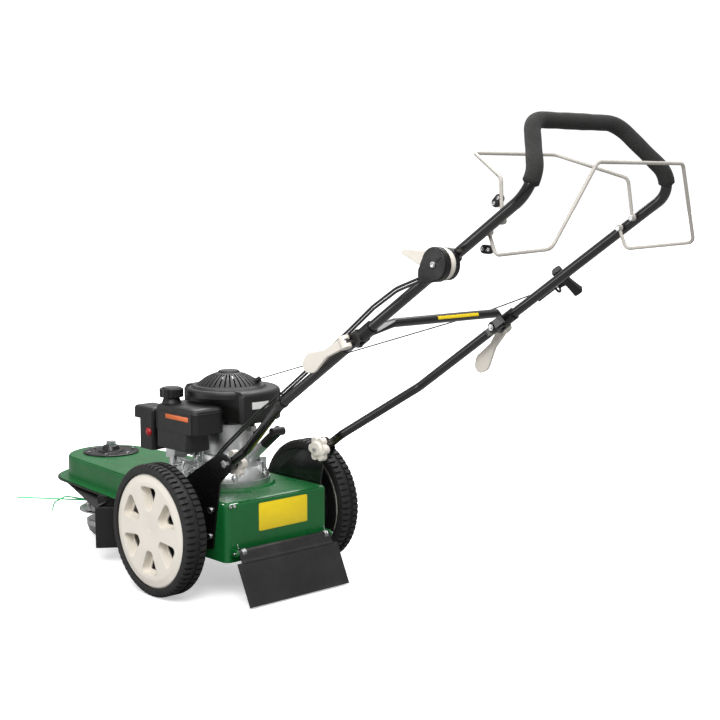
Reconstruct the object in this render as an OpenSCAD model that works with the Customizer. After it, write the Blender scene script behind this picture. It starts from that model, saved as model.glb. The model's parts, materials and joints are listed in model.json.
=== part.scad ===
// Wheeled string trimmer, standing on its two wheels and on the glide cup under the string head.
// X points forward, Y to the machine's left and Z up. The origin lies on the ground, under the
// axis of the string head. Lengths are in millimetres.

/* [Wheels] */
// Wheel diameter over the tread
wheel_d = 305; // [285:1:325]
// Width of the tyre
tyre_w = 55; // [48:1:60]
// Distance between the middles of the two tyres
track_w = 455; // [446:1:480]
// Height of the tyre over the rim
tyre_h = 26.5; // [24:0.5:30]
// Lugs on each shoulder of the tyre
lug_count = 64; // [48:1:72]
// Depth of the tread lugs
lug_depth = 5; // [3:0.5:7]
// Diameter of the axle
axle_d = 14; // [10:0.5:18]

/* [Deck] */
// Distance from the axle to the axis of the string head
wheelbase = 550; // [530:1:590]
// Height of the flat top of the deck over the axle
deck_rise = 71.5; // [64:0.5:84]
// Width of the deck between the wheels
deck_w = 300; // [284:1:302]
// Reach of the deck behind the axle
deck_tail = 152; // [140:1:175]
// Radius of the nose of the deck
nose_r = 112; // [100:1:120]
// Sheet thickness of the deck
deck_t = 2.5; // [1.5:0.1:3.5]
// Drop from that top to the flange round the front
flange_drop = 59; // [54:1:64]
// Width of that flange
flange_w = 24; // [14:1:30]
// Drop from the axle to the lower edge of the tail
tail_drop = 64.5; // [54:0.5:72]
// Rounding of the top edge
deck_round = 9; // [4:0.5:14]
// Height of the round platform under the engine
platform_h = 6; // [3:0.5:10]

/* [String head] */
// Radius that the trimmer lines reach
cut_r = 290; // [280:1:300]
// Radius of the plate that carries the lines
line_plate_r = 87; // [70:1:95]
// Height of the underside of that plate
line_plate_z = 76; // [66:1:84]
// Radius of the glide cup
cup_r = 68; // [56:1:76]
// Diameter of the spindle shaft
spindle_d = 15; // [12:0.5:20]
// Radius of the round cover on the nose
cover_r = 73; // [60:1:82]
// Clearance between the lines and the debris skirt behind them
skirt_gap = 10; // [6:1:14]
// Height of the lower edge of the skirt
skirt_z = 40; // [30:1:60]

/* [Engine] */
// Diameter of the crankshaft
crank_d = 24; // [20:0.5:28]
// Distance of the crankshaft ahead of the axle
engine_ahead = 30; // [24:1:36]
// Radius of the mounting flange of the engine
mount_r = 96; // [90:1:100]
// Radius of the recoil dome
dome_r = 82; // [76:1:90]
// Height of the recoil dome
dome_h = 37; // [30:1:44]
// Slots in the recoil dome
slot_count = 36; // [24:1:44]
// Width of a slot
slot_w = 3.2; // [2:0.1:4]
// Height of the top of the blower shroud above the deck
shroud_top = 233; // [228:1:240]
// Radius of the blower shroud
shroud_r = 122; // [114:1:126]
// Length of the fuel tank
tank_l = 160; // [140:1:164]
// Height of the fuel tank
tank_h = 102; // [90:1:106]

/* [Belt drive] */
// Radius of the engine pulley
engine_pulley_r = 40; // [34:1:46]
// Radius of the spindle pulley
spindle_pulley_r = 48; // [40:1:56]
// Width of the belt
belt_w = 10; // [8:0.5:12]

/* [Handle] */
// Slope of the handle tubes above the ground
handle_angle = 33.6; // [31:0.1:36]
// Outer diameter of the handle tubes
tube_d = 20; // [18:0.5:22]
// Wall of the handle tubes
tube_t = 1.5; // [1:0.1:2.5]
// Distance between the upper tubes
handle_w = 406; // [400:1:416]
// Distance of the handle studs behind the axle
stud_back = 156; // [152:1:168]
// Height of the handle studs over the axle
stud_rise = 163.5; // [158:0.5:174]
// Distance along the tube from the stud to the fold
fold_s = 574; // [560:1:590]
// Distance along the tube from the stud to the bend below the grip
bend_s = 1108; // [1095:1:1125]
// Rise of the grip above the line of the tubes
grip_rise = 141; // [130:1:155]
// Half length of the grip between its corners
grip_half = 120; // [110:1:130]
// Outer diameter of the foam grip
foam_d = 30; // [27:0.5:34]
// Diameter of the cross brace
brace_d = 18; // [15:0.5:20]
// Diameter of the wire of the bails
wire_d = 6.5; // [5:0.25:8]
// Diameter of the star knobs
knob_d = 60; // [48:1:66]
// Lobes of a star knob
knob_lobes = 6; // [5:1:8]
// Angle of the left cam lever below the horizontal
left_cam_angle = 27; // [20:1:40]
// Angle of the right cam lever below the horizontal
right_cam_angle = 53; // [40:1:70]

/* [Rear flap] */
// Width of the flap
flap_w = 296; // [280:1:310]
// Slope of the flap from the vertical
flap_angle = 26; // [16:1:32]
// Drop from the axle to the hinge of the flap
flap_drop = 39.5; // [32:0.5:46]
// Diameter of the hinge rod
flap_rod_d = 6; // [5:0.5:8]

/* [Fits] */
// Radial clearance of a shaft that turns in its bore
run_gap = 0.05; // [0.02:0.01:0.1]
// Clearance between pieces that move past each other
slip_gap = 0.4; // [0.3:0.05:0.6]

/* [Hidden] */
$fn = 48;
// Smooth curves where the eye follows a rim
fine = 96;
// Few facets where a shape is blended
blend = 24;
// Cutters overshoot a face by this much
over = 1;
// A bend is this much thicker than its straights, which run into it by the lap
bend_fat = 0.08;
bend_lap = 0.2;

axle_x = -wheelbase;
axle_z = wheel_d / 2;
rim_d = wheel_d - 2 * tyre_h;
deck_top = axle_z + deck_rise;
flange_z = deck_top - flange_drop;
tail_z = axle_z - tail_drop;
flap_z = axle_z - flap_drop;
stud_z = axle_z + stud_rise;
skirt_r = cut_r + skirt_gap;
engine_x = axle_x + engine_ahead;
wheel_y = track_w / 2;
wheel_in = wheel_y - tyre_w / 2;
half = deck_w / 2;
tail_x = axle_x - deck_tail;
tail_corner = 14;
taper_x = axle_x + 150;
tail_front = axle_x + 95;
plate_t = 4;
bracket_out = half + plate_t;

spindle_bolts = 6;
spindle_bolt_r = cover_r - 13;
cover_t = 3;
boss_r = 26;
bearing_r = 17.5;
bearing_w = 11;
belt_z = deck_top - 34;
pulley_w = belt_w + 8;
belt_t = 7;
belly_z = flange_z + 3;
belly_t = 3;
belly_boss = 16;
hub_z = line_plate_z - 16;
stub_d = spindle_d - 3;
stub_z = 14;
shaft_top = deck_top + 26;

flange_t = 12;
mount_z = deck_top + platform_h;
mount_bolt_r = mount_r - 12;
case_z = mount_z + flange_t;
shroud_z = deck_top + shroud_top;
fin_y = 52;
hood_y = 46;
fly_r = hood_y - 6;
// The shroud stands on posts over the ears of the crankcase, at these angles
post_angles = [180, 270, 330];
post_r = dome_r + 4;
ear_top = case_z + 130;
tank_w = 92;
tank_in = 66;
tank_x = axle_x - 45;
tank_z = deck_top + 98;
neck_h = 14;
cap_r = 28;
cap_x = tank_x + tank_l - 26;
cap_y = tank_in + 58;
oil_foot = [axle_x - 14, -10, case_z + 32];
oil_top = [axle_x - 90, -12, case_z + 91];
box_x = axle_x + 154;
box_y = 76;
box_z = deck_top + 78;
box_size = [58, 60, 72];
lid_size = [84, 62, 30];
primer_at = [box_x + 15, box_y + box_size.y, box_z + 43];
primer_r = 10.5;
rope_out = [engine_x - 62, -46, shroud_z + 20];

tube_r = tube_d / 2;
tube_y = handle_w / 2;
low_y = half - tube_r - slip_gap;
knob_t = 20;
stud_d = 8;
low_bend_s = 74;
flare_s = 300;
fold_tang = 30;
fold_web = 22;
collar_r = tube_r + 3;
collar_l = 36;
tang_t = tube_d * 0.6;
cheek_in = tang_t / 2 + slip_gap;
bolt_d = 8;
cam_r = 11;
cam_y = tube_y + collar_r + 1 + cam_r;
brace_s = fold_s + 60;
brace_n = 3;
tab_t = 4;
tab_y = tube_y - collar_r - slip_gap - tab_t;
pin_d = 6;
opc_s = 1000;
drive_s = 964;
eye_w = 7;
eye_y = tube_y - tube_r - 4 - eye_w;
throttle_s = 872;
throttle_n = -7;
disc_r = 28;
disc_t = 15;
disc_y = tube_y + tube_r + 6;
guide_s = 735;
guide_y = -tube_y - 34;
pull_tilt = 12;
rope_d = 3;
// Two stretches of one cord on different bodies stop this far from their shared point
cord_gap = 0.5;
cable_d = 5;
flap_x = tail_x - 20;
ear_t = 5;
ear_y = half - 12;

up = [-cos(handle_angle), 0, sin(handle_angle)];
out = [sin(handle_angle), 0, cos(handle_angle)];
pull = cos(pull_tilt) * up + sin(pull_tilt) * [0, -1, 0];

function unit(v) = v / norm(v);
// Point at distance s along the handle from the stud, at width y and height n off the tube's line
function on_handle(s, y, n = 0) =
    [axle_x - stud_back, y, stud_z] + s * up + n * out;
// Where a line from point p touches the nose circle of radius r
function nose_touch(r, p) =
    let (a = atan2(p.y, p.x) - acos(r / norm(p))) [r * cos(a), r * sin(a)];
// A path and its mirror image on the other side, joined in the middle
function there_and_back(path) =
    concat(path, [for (i = [len(path) - 1:-1:0]) [path[i].x, -path[i].y, path[i].z]]);

module both_sides() {
    children();
    mirror([0, 1, 0]) children();
}

// Cylinder along Y from y0 to y1
module y_rod(d, y0, y1, x = 0, z = 0) {
    translate([x, y1, z]) rotate([90, 0, 0]) cylinder(d = d, h = y1 - y0);
}

// Cylinder between two points
module rod(a, b, d) {
    v = b - a;
    translate(a)
        rotate([0, acos(v.z / norm(v)), atan2(v.y, v.x)])
            cylinder(d = d, h = norm(v));
}

// Round bend of radius r at the middle one of three points; a share of it may be skipped
module bend(p0, p1, p2, r, d, skip = 0) {
    u = unit(p1 - p0);
    v = unit(p2 - p1);
    a = acos(u * v);
    w = unit(cross(u, v));
    inward = cross(w, u);
    c = p1 - r * tan(a / 2) * u + r * inward;
    multmatrix([[-inward.x, u.x, w.x, c.x], [-inward.y, u.y, w.y, c.y], [-inward.z, u.z, w.z, c.z],
        [0, 0, 0, 1]])
        rotate(skip * a) rotate_extrude(angle = (1 - skip) * a) translate([r, 0]) circle(d = d + bend_fat);
}

// Length that a bend of radius r takes off the straight before point i
function bend_cut(p, i, r) =
    i == 0 || i == len(p) - 1 ? 0
    : r * tan(acos(unit(p[i] - p[i - 1]) * unit(p[i + 1] - p[i])) / 2);

// Round rod along a path, with bends of radius r; the ends may be drawn out
module bent_rod(p, r, d, longer = 0) {
    for (i = [0:len(p) - 2]) {
        u = unit(p[i + 1] - p[i]);
        head = i == 0 ? -longer : bend_cut(p, i, r) - bend_lap;
        foot = i == len(p) - 2 ? -longer : bend_cut(p, i + 1, r) - bend_lap;
        rod(p[i] + head * u, p[i + 1] - foot * u, d);
    }
    for (i = [1:1:len(p) - 2]) bend(p[i - 1], p[i], p[i + 1], r, d);
}

// Tube along a path
module bent_tube(p, r, d, wall) {
    difference() {
        bent_rod(p, r, d);
        bent_rod(p, r, d - 2 * wall, over);
    }
}

// Frame on a handle tube: X runs up the tube and Z away from the ground
module on_tube(s, y, n = 0) {
    translate(on_handle(s, y, n)) rotate([0, handle_angle, 0]) rotate([0, 0, 180]) children();
}

// Cylinder along Y at a place on the handle
module tube_rod(s, n, d, y0, y1) {
    p = on_handle(s, 0, n);
    y_rod(d, y0, y1, p.x, p.z);
}

// Box with rounded edges and corners
module soft_box(size, r) {
    hull()
        for (x = [r, size.x - r], y = [r, size.y - r], z = [r, size.z - r])
            translate([x, y, z]) sphere(r = r, $fn = blend);
}

// Outline of the deck from above: straight tail, tapering flanks and round nose
module deck_outline(grow = 0) {
    shoulder = [taper_x, half + grow];
    touch = nose_touch(nose_r + grow, shoulder);
    back = tail_x - grow;
    circle(r = nose_r + grow, $fn = fine);
    polygon([touch, shoulder, [back + tail_corner, half + grow], [back + tail_corner, -half - grow],
        [shoulder.x, -shoulder.y], [touch.x, -touch.y]]);
    translate([back, tail_corner - half - grow])
        square([2 * tail_corner, 2 * (half + grow - tail_corner)]);
    for (side = [-1, 1])
        translate([back + tail_corner, side * (half + grow - tail_corner)]) circle(r = tail_corner);
}

module deck_slice(z, h, grow) {
    translate([0, 0, z]) linear_extrude(h) deck_outline(grow);
}

// The part of a shape ahead of or behind the wall that closes the tail
module ahead_of(x) {
    intersection() {
        children();
        translate([x, -2 * half, 0]) cube([2 * wheelbase, 4 * half, 2 * deck_top]);
    }
}

module behind(x) {
    intersection() {
        children();
        translate([x - wheelbase, -2 * half, 0]) cube([wheelbase, 4 * half, 2 * deck_top]);
    }
}

module spindle_bolt_circle() {
    for (i = [0:spindle_bolts - 1])
        rotate(i * 360 / spindle_bolts + 15) translate([spindle_bolt_r, 0, 0]) children();
}

module engine_bolt_circle() {
    translate([engine_x, 0, 0])
        for (i = [0:3]) rotate(45 + 90 * i) translate([mount_bolt_r, 0, 0]) children();
}

// Places where a bracket is bolted to the side of the deck
bracket_spots = [[axle_x - 92, axle_z - 12], [axle_x - 100, axle_z + 50], [axle_x + 30, axle_z + 50]];

// Block with the outline of its children and a rounded upper edge
module crowned(z0, z1, edge) {
    skin = 0.05;
    translate([0, 0, z0]) linear_extrude(z1 - edge - z0) children();
    hull() for (k = [[-0.5, skin], [0, skin], [0.45, 0.12 * edge], [0.8, 0.42 * edge], [1, edge]])
        translate([0, 0, z1 - edge + k[0] * (edge - 0.1)])
            linear_extrude(0.1) offset(delta = -k[1]) children();
}

module deck_pan() {
    difference() {
        crowned(tail_z, deck_top, deck_round) deck_outline();
        translate([tail_front, -2 * half, 0]) cube([2 * wheelbase, 4 * half, flange_z]);
    }
}

module deck() {
    color("darkgreen") difference() {
        union() {
            deck_pan();
            ahead_of(taper_x - 20) deck_slice(flange_z, deck_t, flange_w);
            translate([engine_x, 0, deck_top - over])
                cylinder(r1 = mount_r + 14, r2 = mount_r + 8, h = platform_h + over);
            for (side = [-1, 1])
                translate([flap_x, side * ear_y - ear_t / 2, flap_z - 8])
                    cube([tail_x - flap_x + deck_t, ear_t, 16]);
            for (side = [-1, 1])
                y_rod(16, side * ear_y - ear_t / 2, side * ear_y + ear_t / 2, flap_x, flap_z);
        }
        deck_slice(tail_z - over, deck_top - deck_t - tail_z + over, -deck_t);
        translate([engine_x, 0, deck_top - deck_t - over])
            cylinder(r = 30, h = platform_h + deck_t + 2 * over);
        engine_bolt_circle() translate([0, 0, deck_top - 10]) cylinder(d = 8, h = 20 + platform_h);
        translate([0, 0, deck_top - 10]) cylinder(r = boss_r + 2, h = 20);
        spindle_bolt_circle() translate([0, 0, deck_top - 10]) cylinder(d = 5, h = 20);
        y_rod(axle_d + 2, -half - over, half + over, axle_x, axle_z);
        y_rod(flap_rod_d, -half, half, flap_x, flap_z);
        for (p = bracket_spots) y_rod(8, -half - over, half + over, p.x, p.y);
    }
}

// Sheet under the nose that closes the belt space and carries the lower spindle bearing
module belly_plate() {
    color("dimgray") difference() {
        union() {
            ahead_of(taper_x) deck_slice(belly_z, belly_t, -deck_t - slip_gap);
            translate([0, 0, belly_z - belly_boss]) cylinder(r = boss_r + 2, h = belly_boss + belly_t);
        }
        translate([0, 0, belly_z - belly_boss + 3]) cylinder(r = bearing_r, h = belly_boss + belly_t);
        translate([0, 0, belly_z - belly_boss - over]) cylinder(d = spindle_d + 4, h = belly_boss);
    }
}

// Moulded guard under the flange; its wings drop to the skirt behind the string head
module front_guard() {
    guard_t = 3;
    guard_z = flange_z - guard_t;
    wing_x = -skirt_r * 0.76;
    wing_y = sqrt(skirt_r * skirt_r - wing_x * wing_x);
    wing_z = flange_z - 25;
    sweep = acos(-wing_x / skirt_r);
    color("black") {
        difference() {
            ahead_of(wing_x) deck_slice(guard_z, guard_t, flange_w + 5);
            deck_slice(guard_z - over, guard_t + 2 * over, -deck_t - 12);
        }
        both_sides() hull() {
            translate([nose_r * 0.5, nose_r + flange_w - 22, guard_z]) cylinder(r = 5, h = guard_t);
            translate([wing_x + 6, wing_y - 8, wing_z]) cylinder(r = 5, h = guard_t);
            translate([wing_x + 6, half - 30, guard_z]) cylinder(r = 5, h = guard_t);
        }
        rotate(180 - sweep) rotate_extrude(angle = 2 * sweep)
            translate([skirt_r - guard_t, skirt_z]) square([guard_t, wing_z - skirt_z + guard_t / 2]);
        rotate(180 - sweep) rotate_extrude(angle = 2 * sweep)
            translate([skirt_r - 30, wing_z - 1]) square([29, guard_t]);
        rotate(180 - sweep * 0.62) rotate_extrude(angle = 2 * sweep * 0.62)
            translate([skirt_r - 31, wing_z]) square([guard_t, flange_z - wing_z]);
    }
}

module spindle_cover() {
    rim = 2.5;
    color("dimgray") difference() {
        union() {
            rotate_extrude($fn = fine) polygon([[0, deck_top], [cover_r, deck_top],
                [cover_r, deck_top + cover_t],
                [cover_r - rim, deck_top + cover_t + 1.5], [cover_r - 3 * rim, deck_top + cover_t],
                [36, deck_top + cover_t], [33, deck_top + cover_t + 4], [24, deck_top + cover_t + 5],
                [20, deck_top + 18], [13, deck_top + 21], [0, deck_top + 21]]);
            translate([0, 0, deck_top - 16]) cylinder(r = boss_r, h = 17);
        }
        translate([0, 0, deck_top - 16 - over]) cylinder(r = bearing_r, h = bearing_w + 3 + over);
        cylinder(d = spindle_d + 2, h = deck_top + 40);
        spindle_bolt_circle() translate([0, 0, deck_top - over]) cylinder(d = 5 + slip_gap, h = 10);
    }
}

module bearing(z) {
    color("silver") translate([0, 0, z]) difference() {
        cylinder(r = bearing_r, h = bearing_w);
        translate([0, 0, -over]) cylinder(d = spindle_d + 2 * run_gap, h = bearing_w + 2 * over);
    }
}

module spindle_bearings() {
    bearing(deck_top - 13);
    bearing(belly_z - belly_boss + 3);
}

module hex_head(af, h) {
    cylinder(d = af / cos(30), h = h, $fn = 6);
}

module deck_bolts() {
    color("silver") {
        spindle_bolt_circle() {
            translate([0, 0, deck_top + cover_t]) hex_head(8, 4);
            translate([0, 0, deck_top - 8]) cylinder(d = 5, h = cover_t + 8);
        }
        engine_bolt_circle() {
            translate([0, 0, case_z]) hex_head(13, 7);
            translate([0, 0, deck_top - 10]) cylinder(d = 8, h = case_z - deck_top + 10);
        }
        both_sides() for (p = bracket_spots) {
            y_rod(8, half - 10, bracket_out, p.x, p.y);
            translate([p.x, bracket_out, p.y]) rotate([-90, 0, 0]) hex_head(13, 5);
        }
    }
}

// V-belt on its two pulleys, seen from above
module belt_loop(grow) {
    hull() {
        translate([engine_x, 0]) circle(r = engine_pulley_r - belt_t - 1 + grow, $fn = fine);
        circle(r = spindle_pulley_r - belt_t - 1 + grow, $fn = fine);
    }
}

module drive_belt() {
    color("black") translate([0, 0, belt_z - belt_w / 2]) linear_extrude(belt_w) difference() {
        belt_loop(belt_t);
        belt_loop(0);
    }
}

module pulley(r, bore) {
    groove = r - belt_t - 2;
    lip = belt_w / 2 + 1;
    translate([0, 0, belt_z]) rotate_extrude($fn = fine)
        polygon([[bore / 2, -pulley_w / 2], [r, -pulley_w / 2], [r, -lip - 1], [groove, -lip], [groove, lip],
            [r, lip + 1], [r, pulley_w / 2], [bore / 2, pulley_w / 2]]);
}

module engine_pulley() {
    color("gray") translate([engine_x, 0, 0]) pulley(engine_pulley_r, crank_d);
}

module spindle_pulley() {
    color("gray") pulley(spindle_pulley_r, spindle_d);
}

// Side bracket from the axle up to the handle stud
module side_brackets() {
    stud = [axle_x - stud_back, stud_z];
    color("black") both_sides() difference() {
        union() {
            translate([0, bracket_out, 0]) rotate([90, 0, 0]) linear_extrude(plate_t) {
                polygon([[axle_x + 46, axle_z - 30], [axle_x + 50, axle_z + 66], [axle_x - 16, axle_z + 118],
                    stud + [24, 22], stud + [6, 23], stud + [-20, 4],
                    stud + [-12, -16], [axle_x - 136, axle_z + 120],
                    [axle_x - 118, axle_z + 40], [axle_x - 106, axle_z - 36], [axle_x - 60, axle_z - 48],
                    [axle_x + 20, axle_z - 44]]);
                translate(stud) circle(r = 21);
            }
            y_rod(34, bracket_out - plate_t, bracket_out + 6, axle_x, axle_z);
        }
        y_rod(axle_d, half - over, bracket_out + 10, axle_x, axle_z);
        y_rod(stud_d, half - over, bracket_out + over, stud.x, stud.y);
        for (p = bracket_spots) y_rod(8, half - over, bracket_out + over, p.x, p.y);
    }
}

module axle() {
    reach = wheel_y + tyre_w / 2 - 14;
    color("silver") y_rod(axle_d, -reach, reach, axle_x, axle_z);
}

// Wheel-drive gearbox hung on the axle under the engine
module gearbox() {
    box = [84, 80, 52];
    low = axle_z - box.z / 2 - 4;
    color("dimgray") difference() {
        union() {
            translate([axle_x - box.x / 2, -box.y - 26, low]) soft_box(box, 10);
            y_rod(40, -box.y - 44, -12, axle_x, axle_z);
        }
        y_rod(axle_d, -box.y - 60, 0, axle_x, axle_z);
    }
}

// Discs that keep dirt out of the inner side of the wheels, with their distance sleeves
module dust_covers() {
    disc_in = wheel_in - 4.5;
    color("black") both_sides() difference() {
        union() {
            y_rod(rim_d + 8, disc_in, disc_in + 3, axle_x, axle_z, $fn = fine);
            difference() {
                y_rod(rim_d - 52, disc_in - 5, disc_in + over, axle_x, axle_z, $fn = fine);
                y_rod(rim_d - 58, disc_in - 6, disc_in + 2 * over, axle_x, axle_z, $fn = fine);
            }
            y_rod(38, bracket_out + 6, disc_in + over, axle_x, axle_z);
            for (i = [0:4]) translate([axle_x, disc_in - 4, axle_z]) rotate([0, 72 * i + 20, 0])
                translate([0, 0, 17]) cube([5, 4 + over, rim_d / 2 - 44]);
        }
        y_rod(axle_d, bracket_out, wheel_in + over, axle_x, axle_z);
    }
}

module flap_rod() {
    color("silver") {
        y_rod(flap_rod_d, -ear_y - 9, ear_y + 9, flap_x, flap_z);
    }
}

module handle_studs() {
    stud_x = axle_x - stud_back;
    color("silver") both_sides() {
        y_rod(stud_d, low_y - tube_r - knob_t - 6, bracket_out, stud_x, stud_z);
        translate([stud_x, bracket_out, stud_z]) rotate([-90, 0, 0]) hex_head(14, 5);
    }
}

// Cast crankcase with its flange, the finned cylinder and the slanting oil filler
module crankcase() {
    color("silver") difference() {
        union() {
            translate([engine_x, 0, 0]) {
                translate([0, 0, mount_z]) cylinder(r = mount_r, h = flange_t, $fn = fine);
                translate([0, 0, case_z - over]) cylinder(r1 = 78, r2 = 70, h = 58 + over);
                translate([0, 0, case_z + 56]) cylinder(r = 56, h = ear_top - case_z - 56);
                for (a = post_angles) rotate(a) translate([48, -8, ear_top - 12]) cube([post_r - 40, 16, 12]);
                translate([30, -38, case_z + 48]) cube([118, 76, 74]);
                for (i = [0:5])
                    translate([74 + 12.5 * i, -fin_y, case_z + 42]) cube([4, 2 * fin_y, 86]);
                for (i = [0:7]) rotate(45 * i + 22.5)
                    translate([60, -3, case_z - over]) cube([30, 6, 40]);
            }
            rod(oil_foot, oil_top, 24);
        }
        translate([engine_x, 0, mount_z - over]) cylinder(d = crank_d + 2 * run_gap, h = 220);
        engine_bolt_circle() translate([0, 0, mount_z - over]) cylinder(d = 8, h = flange_t + 2 * over);
        engine_bolt_circle() translate([0, 0, case_z]) cylinder(d = 22, h = 30);
        rod(oil_foot + 0.4 * (oil_top - oil_foot), oil_top + 0.1 * (oil_top - oil_foot), 16);
    }
}

// Cylinder head with its crowned cover and the spark plug
module cylinder_head() {
    head_x = engine_x + 148;
    head_z = case_z + 42;
    color("silver") {
        translate([head_x, -46, head_z]) cube([22, 92, 86]);
        translate([head_x, -40, head_z + 82]) rotate([0, 90, 0]) crowned(20, 60, 8) soft_plan([78, 60], 12);
        rod([head_x + 20, 32, head_z + 50], [head_x + 52, 36, head_z + 54], 14);
    }
}

// Cap turned about the crankshaft, with a rounded upper edge
module turned_cap(r, low, high, edge) {
    translate([engine_x, 0, 0]) rotate_extrude($fn = fine) polygon(concat([[0, low], [r, low]],
        [for (a = [0:22.5:90]) [r - edge + edge * cos(a), high - edge + edge * sin(a)]], [[0, high]]));
}

// The part of a shape on the crankshaft's side of the flat wall beside the tank
module beside_tank(y) {
    intersection() {
        children();
        translate([engine_x - 2 * shroud_r, -2 * shroud_r, 0])
            cube([4 * shroud_r, 2 * shroud_r + y, 2 * shroud_z]);
    }
}

// Round shroud with a flat wall beside the tank, and a brim under the whole dome
module blower_shroud() {
    wall = 3;
    foot = case_z + 142;
    brim = 18;
    hole = dome_r - 6;
    color("#2b2c2e") {
        difference() {
            union() {
                beside_tank(hood_y) turned_cap(shroud_r, foot, shroud_z, 12);
                turned_cap(dome_r + brim, shroud_z - brim, shroud_z - 0.5, 8);
            }
            beside_tank(hood_y - wall) turned_cap(shroud_r - wall, foot - over, shroud_z - 14, 9);
            beside_tank(hood_y - wall - 1)
                translate([engine_x, 0, foot]) cylinder(r = hole, h = shroud_z - 6 - foot);
            translate([engine_x, 0, shroud_z - 9]) cylinder(r = hole, h = 20);
        }
        for (a = post_angles) translate([engine_x, 0, ear_top]) rotate(a)
            translate([post_r, 0, 0]) cylinder(d = 10, h = shroud_z - 8 - ear_top);
    }
}

// Recoil housing: a ring and a low dome, cut into slats all round
module recoil_housing() {
    ball = (dome_r * dome_r + dome_h * dome_h) / (2 * dome_h);
    skin = 3.2;
    disc_r = 27;
    top = shroud_z + dome_h;
    color("#1f2022") {
        difference() {
            union() {
                intersection() {
                    translate([engine_x, 0, top - ball]) sphere(r = ball, $fn = fine);
                    translate([engine_x, 0, shroud_z]) cylinder(r = dome_r, h = dome_h, $fn = fine);
                }
                translate([engine_x, 0, shroud_z])
                    cylinder(r1 = dome_r + 8, r2 = dome_r + 2, h = 5, $fn = fine);
                rod(rope_out + [14, 12, -10], rope_out, 13);
            }
            translate([engine_x, 0, top - ball]) sphere(r = ball - skin, $fn = fine);
            translate([engine_x, 0, shroud_z - over]) cylinder(r = dome_r - 8, h = 3);
            for (i = [0:slot_count - 1]) translate([engine_x, 0, shroud_z + 7])
                rotate((i + 0.5) * 360 / slot_count)
                translate([disc_r + 6, -slot_w / 2, 0]) cube([dome_r - disc_r - 12, slot_w, dome_h]);
        }
        translate([engine_x, 0, top - skin]) cylinder(r1 = disc_r, r2 = disc_r - 4, h = skin + 1.5);
    }
}

module flywheel() {
    fly_z = shroud_z - 58;
    color("gray") difference() {
        translate([engine_x, 0, fly_z]) {
            cylinder(r = fly_r, h = 14, $fn = fine);
            cylinder(r = 22, h = 34);
            for (i = [0:11]) rotate(30 * i) translate([20, -1.5, 10]) cube([fly_r - 24, 3, 22]);
        }
        translate([engine_x, 0, fly_z - over]) cylinder(d = crank_d, h = 60);
    }
}

module crankshaft() {
    foot = belt_z - pulley_w / 2 - 3;
    color("silver") translate([engine_x, 0, 0]) {
        translate([0, 0, foot]) cylinder(d = crank_d, h = shroud_z - 14 - foot);
        translate([0, 0, foot - 4]) hex_head(16, 5);
        translate([0, 0, belt_z - pulley_w / 2 - 3]) cylinder(d = crank_d + 8, h = 3);
    }
}

// Rounded rectangle from above
module soft_plan(size, r) {
    translate([r, 0]) square([size.x - 2 * r, size.y]);
    translate([0, r]) square([size.x, size.y - 2 * r]);
    for (x = [r, size.x - r], y = [r, size.y - r]) translate([x, y]) circle(r = r, $fn = blend);
}

// Moulded tank: stepped foot, crowned top, bracket towards the engine and tall filler neck
module fuel_tank() {
    step = 42;
    color("#202123") {
        translate([tank_x, tank_in, 0])
            crowned(tank_z + step, tank_z + tank_h, 12) soft_plan([tank_l, tank_w], 20);
        translate([tank_x + 26, tank_in + 22, tank_z]) linear_extrude(step + over)
            soft_plan([tank_l - 28, tank_w - 24], 16);
        translate([cap_x, cap_y, tank_z + tank_h - 3]) cylinder(r1 = 24, r2 = 18, h = neck_h + 3);
        translate([engine_x - 20, hood_y + 10, tank_z + step + 6]) cube([60, 20, 20]);
    }
}

module fuel_cap() {
    base = tank_z + tank_h + neck_h + slip_gap;
    color("#151516") translate([cap_x, cap_y, base]) {
        linear_extrude(19) difference() {
            circle(r = cap_r);
            for (i = [0:15]) rotate(22.5 * i) translate([cap_r + 1, 0]) circle(r = 2.6, $fn = blend);
        }
        translate([0, 0, 18]) cylinder(r1 = cap_r - 3, r2 = cap_r - 6, h = 4);
    }
}

// Filter box with its overhanging lid, and a round recess for the primer
module filter_box() {
    color("#1c1d1f") difference() {
        union() {
            translate([box_x, box_y, box_z]) linear_extrude(box_size.z + over) soft_plan(box_size, 10);
            translate([box_x - 2, box_y - 2, 0])
                crowned(box_z + box_size.z, box_z + box_size.z + lid_size.z, 8) soft_plan(lid_size, 12);
            translate([box_x - 18, box_y + 8, box_z + 16]) cube([28, 34, 30]);
        }
        translate(primer_at + [0, over, 0]) rotate([90, 0, 0])
            cylinder(r = primer_r + slip_gap, h = 8 + over);
    }
}

module primer_bulb() {
    color("#b3171c") translate(primer_at - [0, 3, 0]) rotate([-90, 0, 0]) {
        cylinder(r = primer_r, h = 4);
        intersection() {
            sphere(r = primer_r - 0.6);
            cylinder(r = primer_r, h = primer_r);
        }
    }
}

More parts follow.
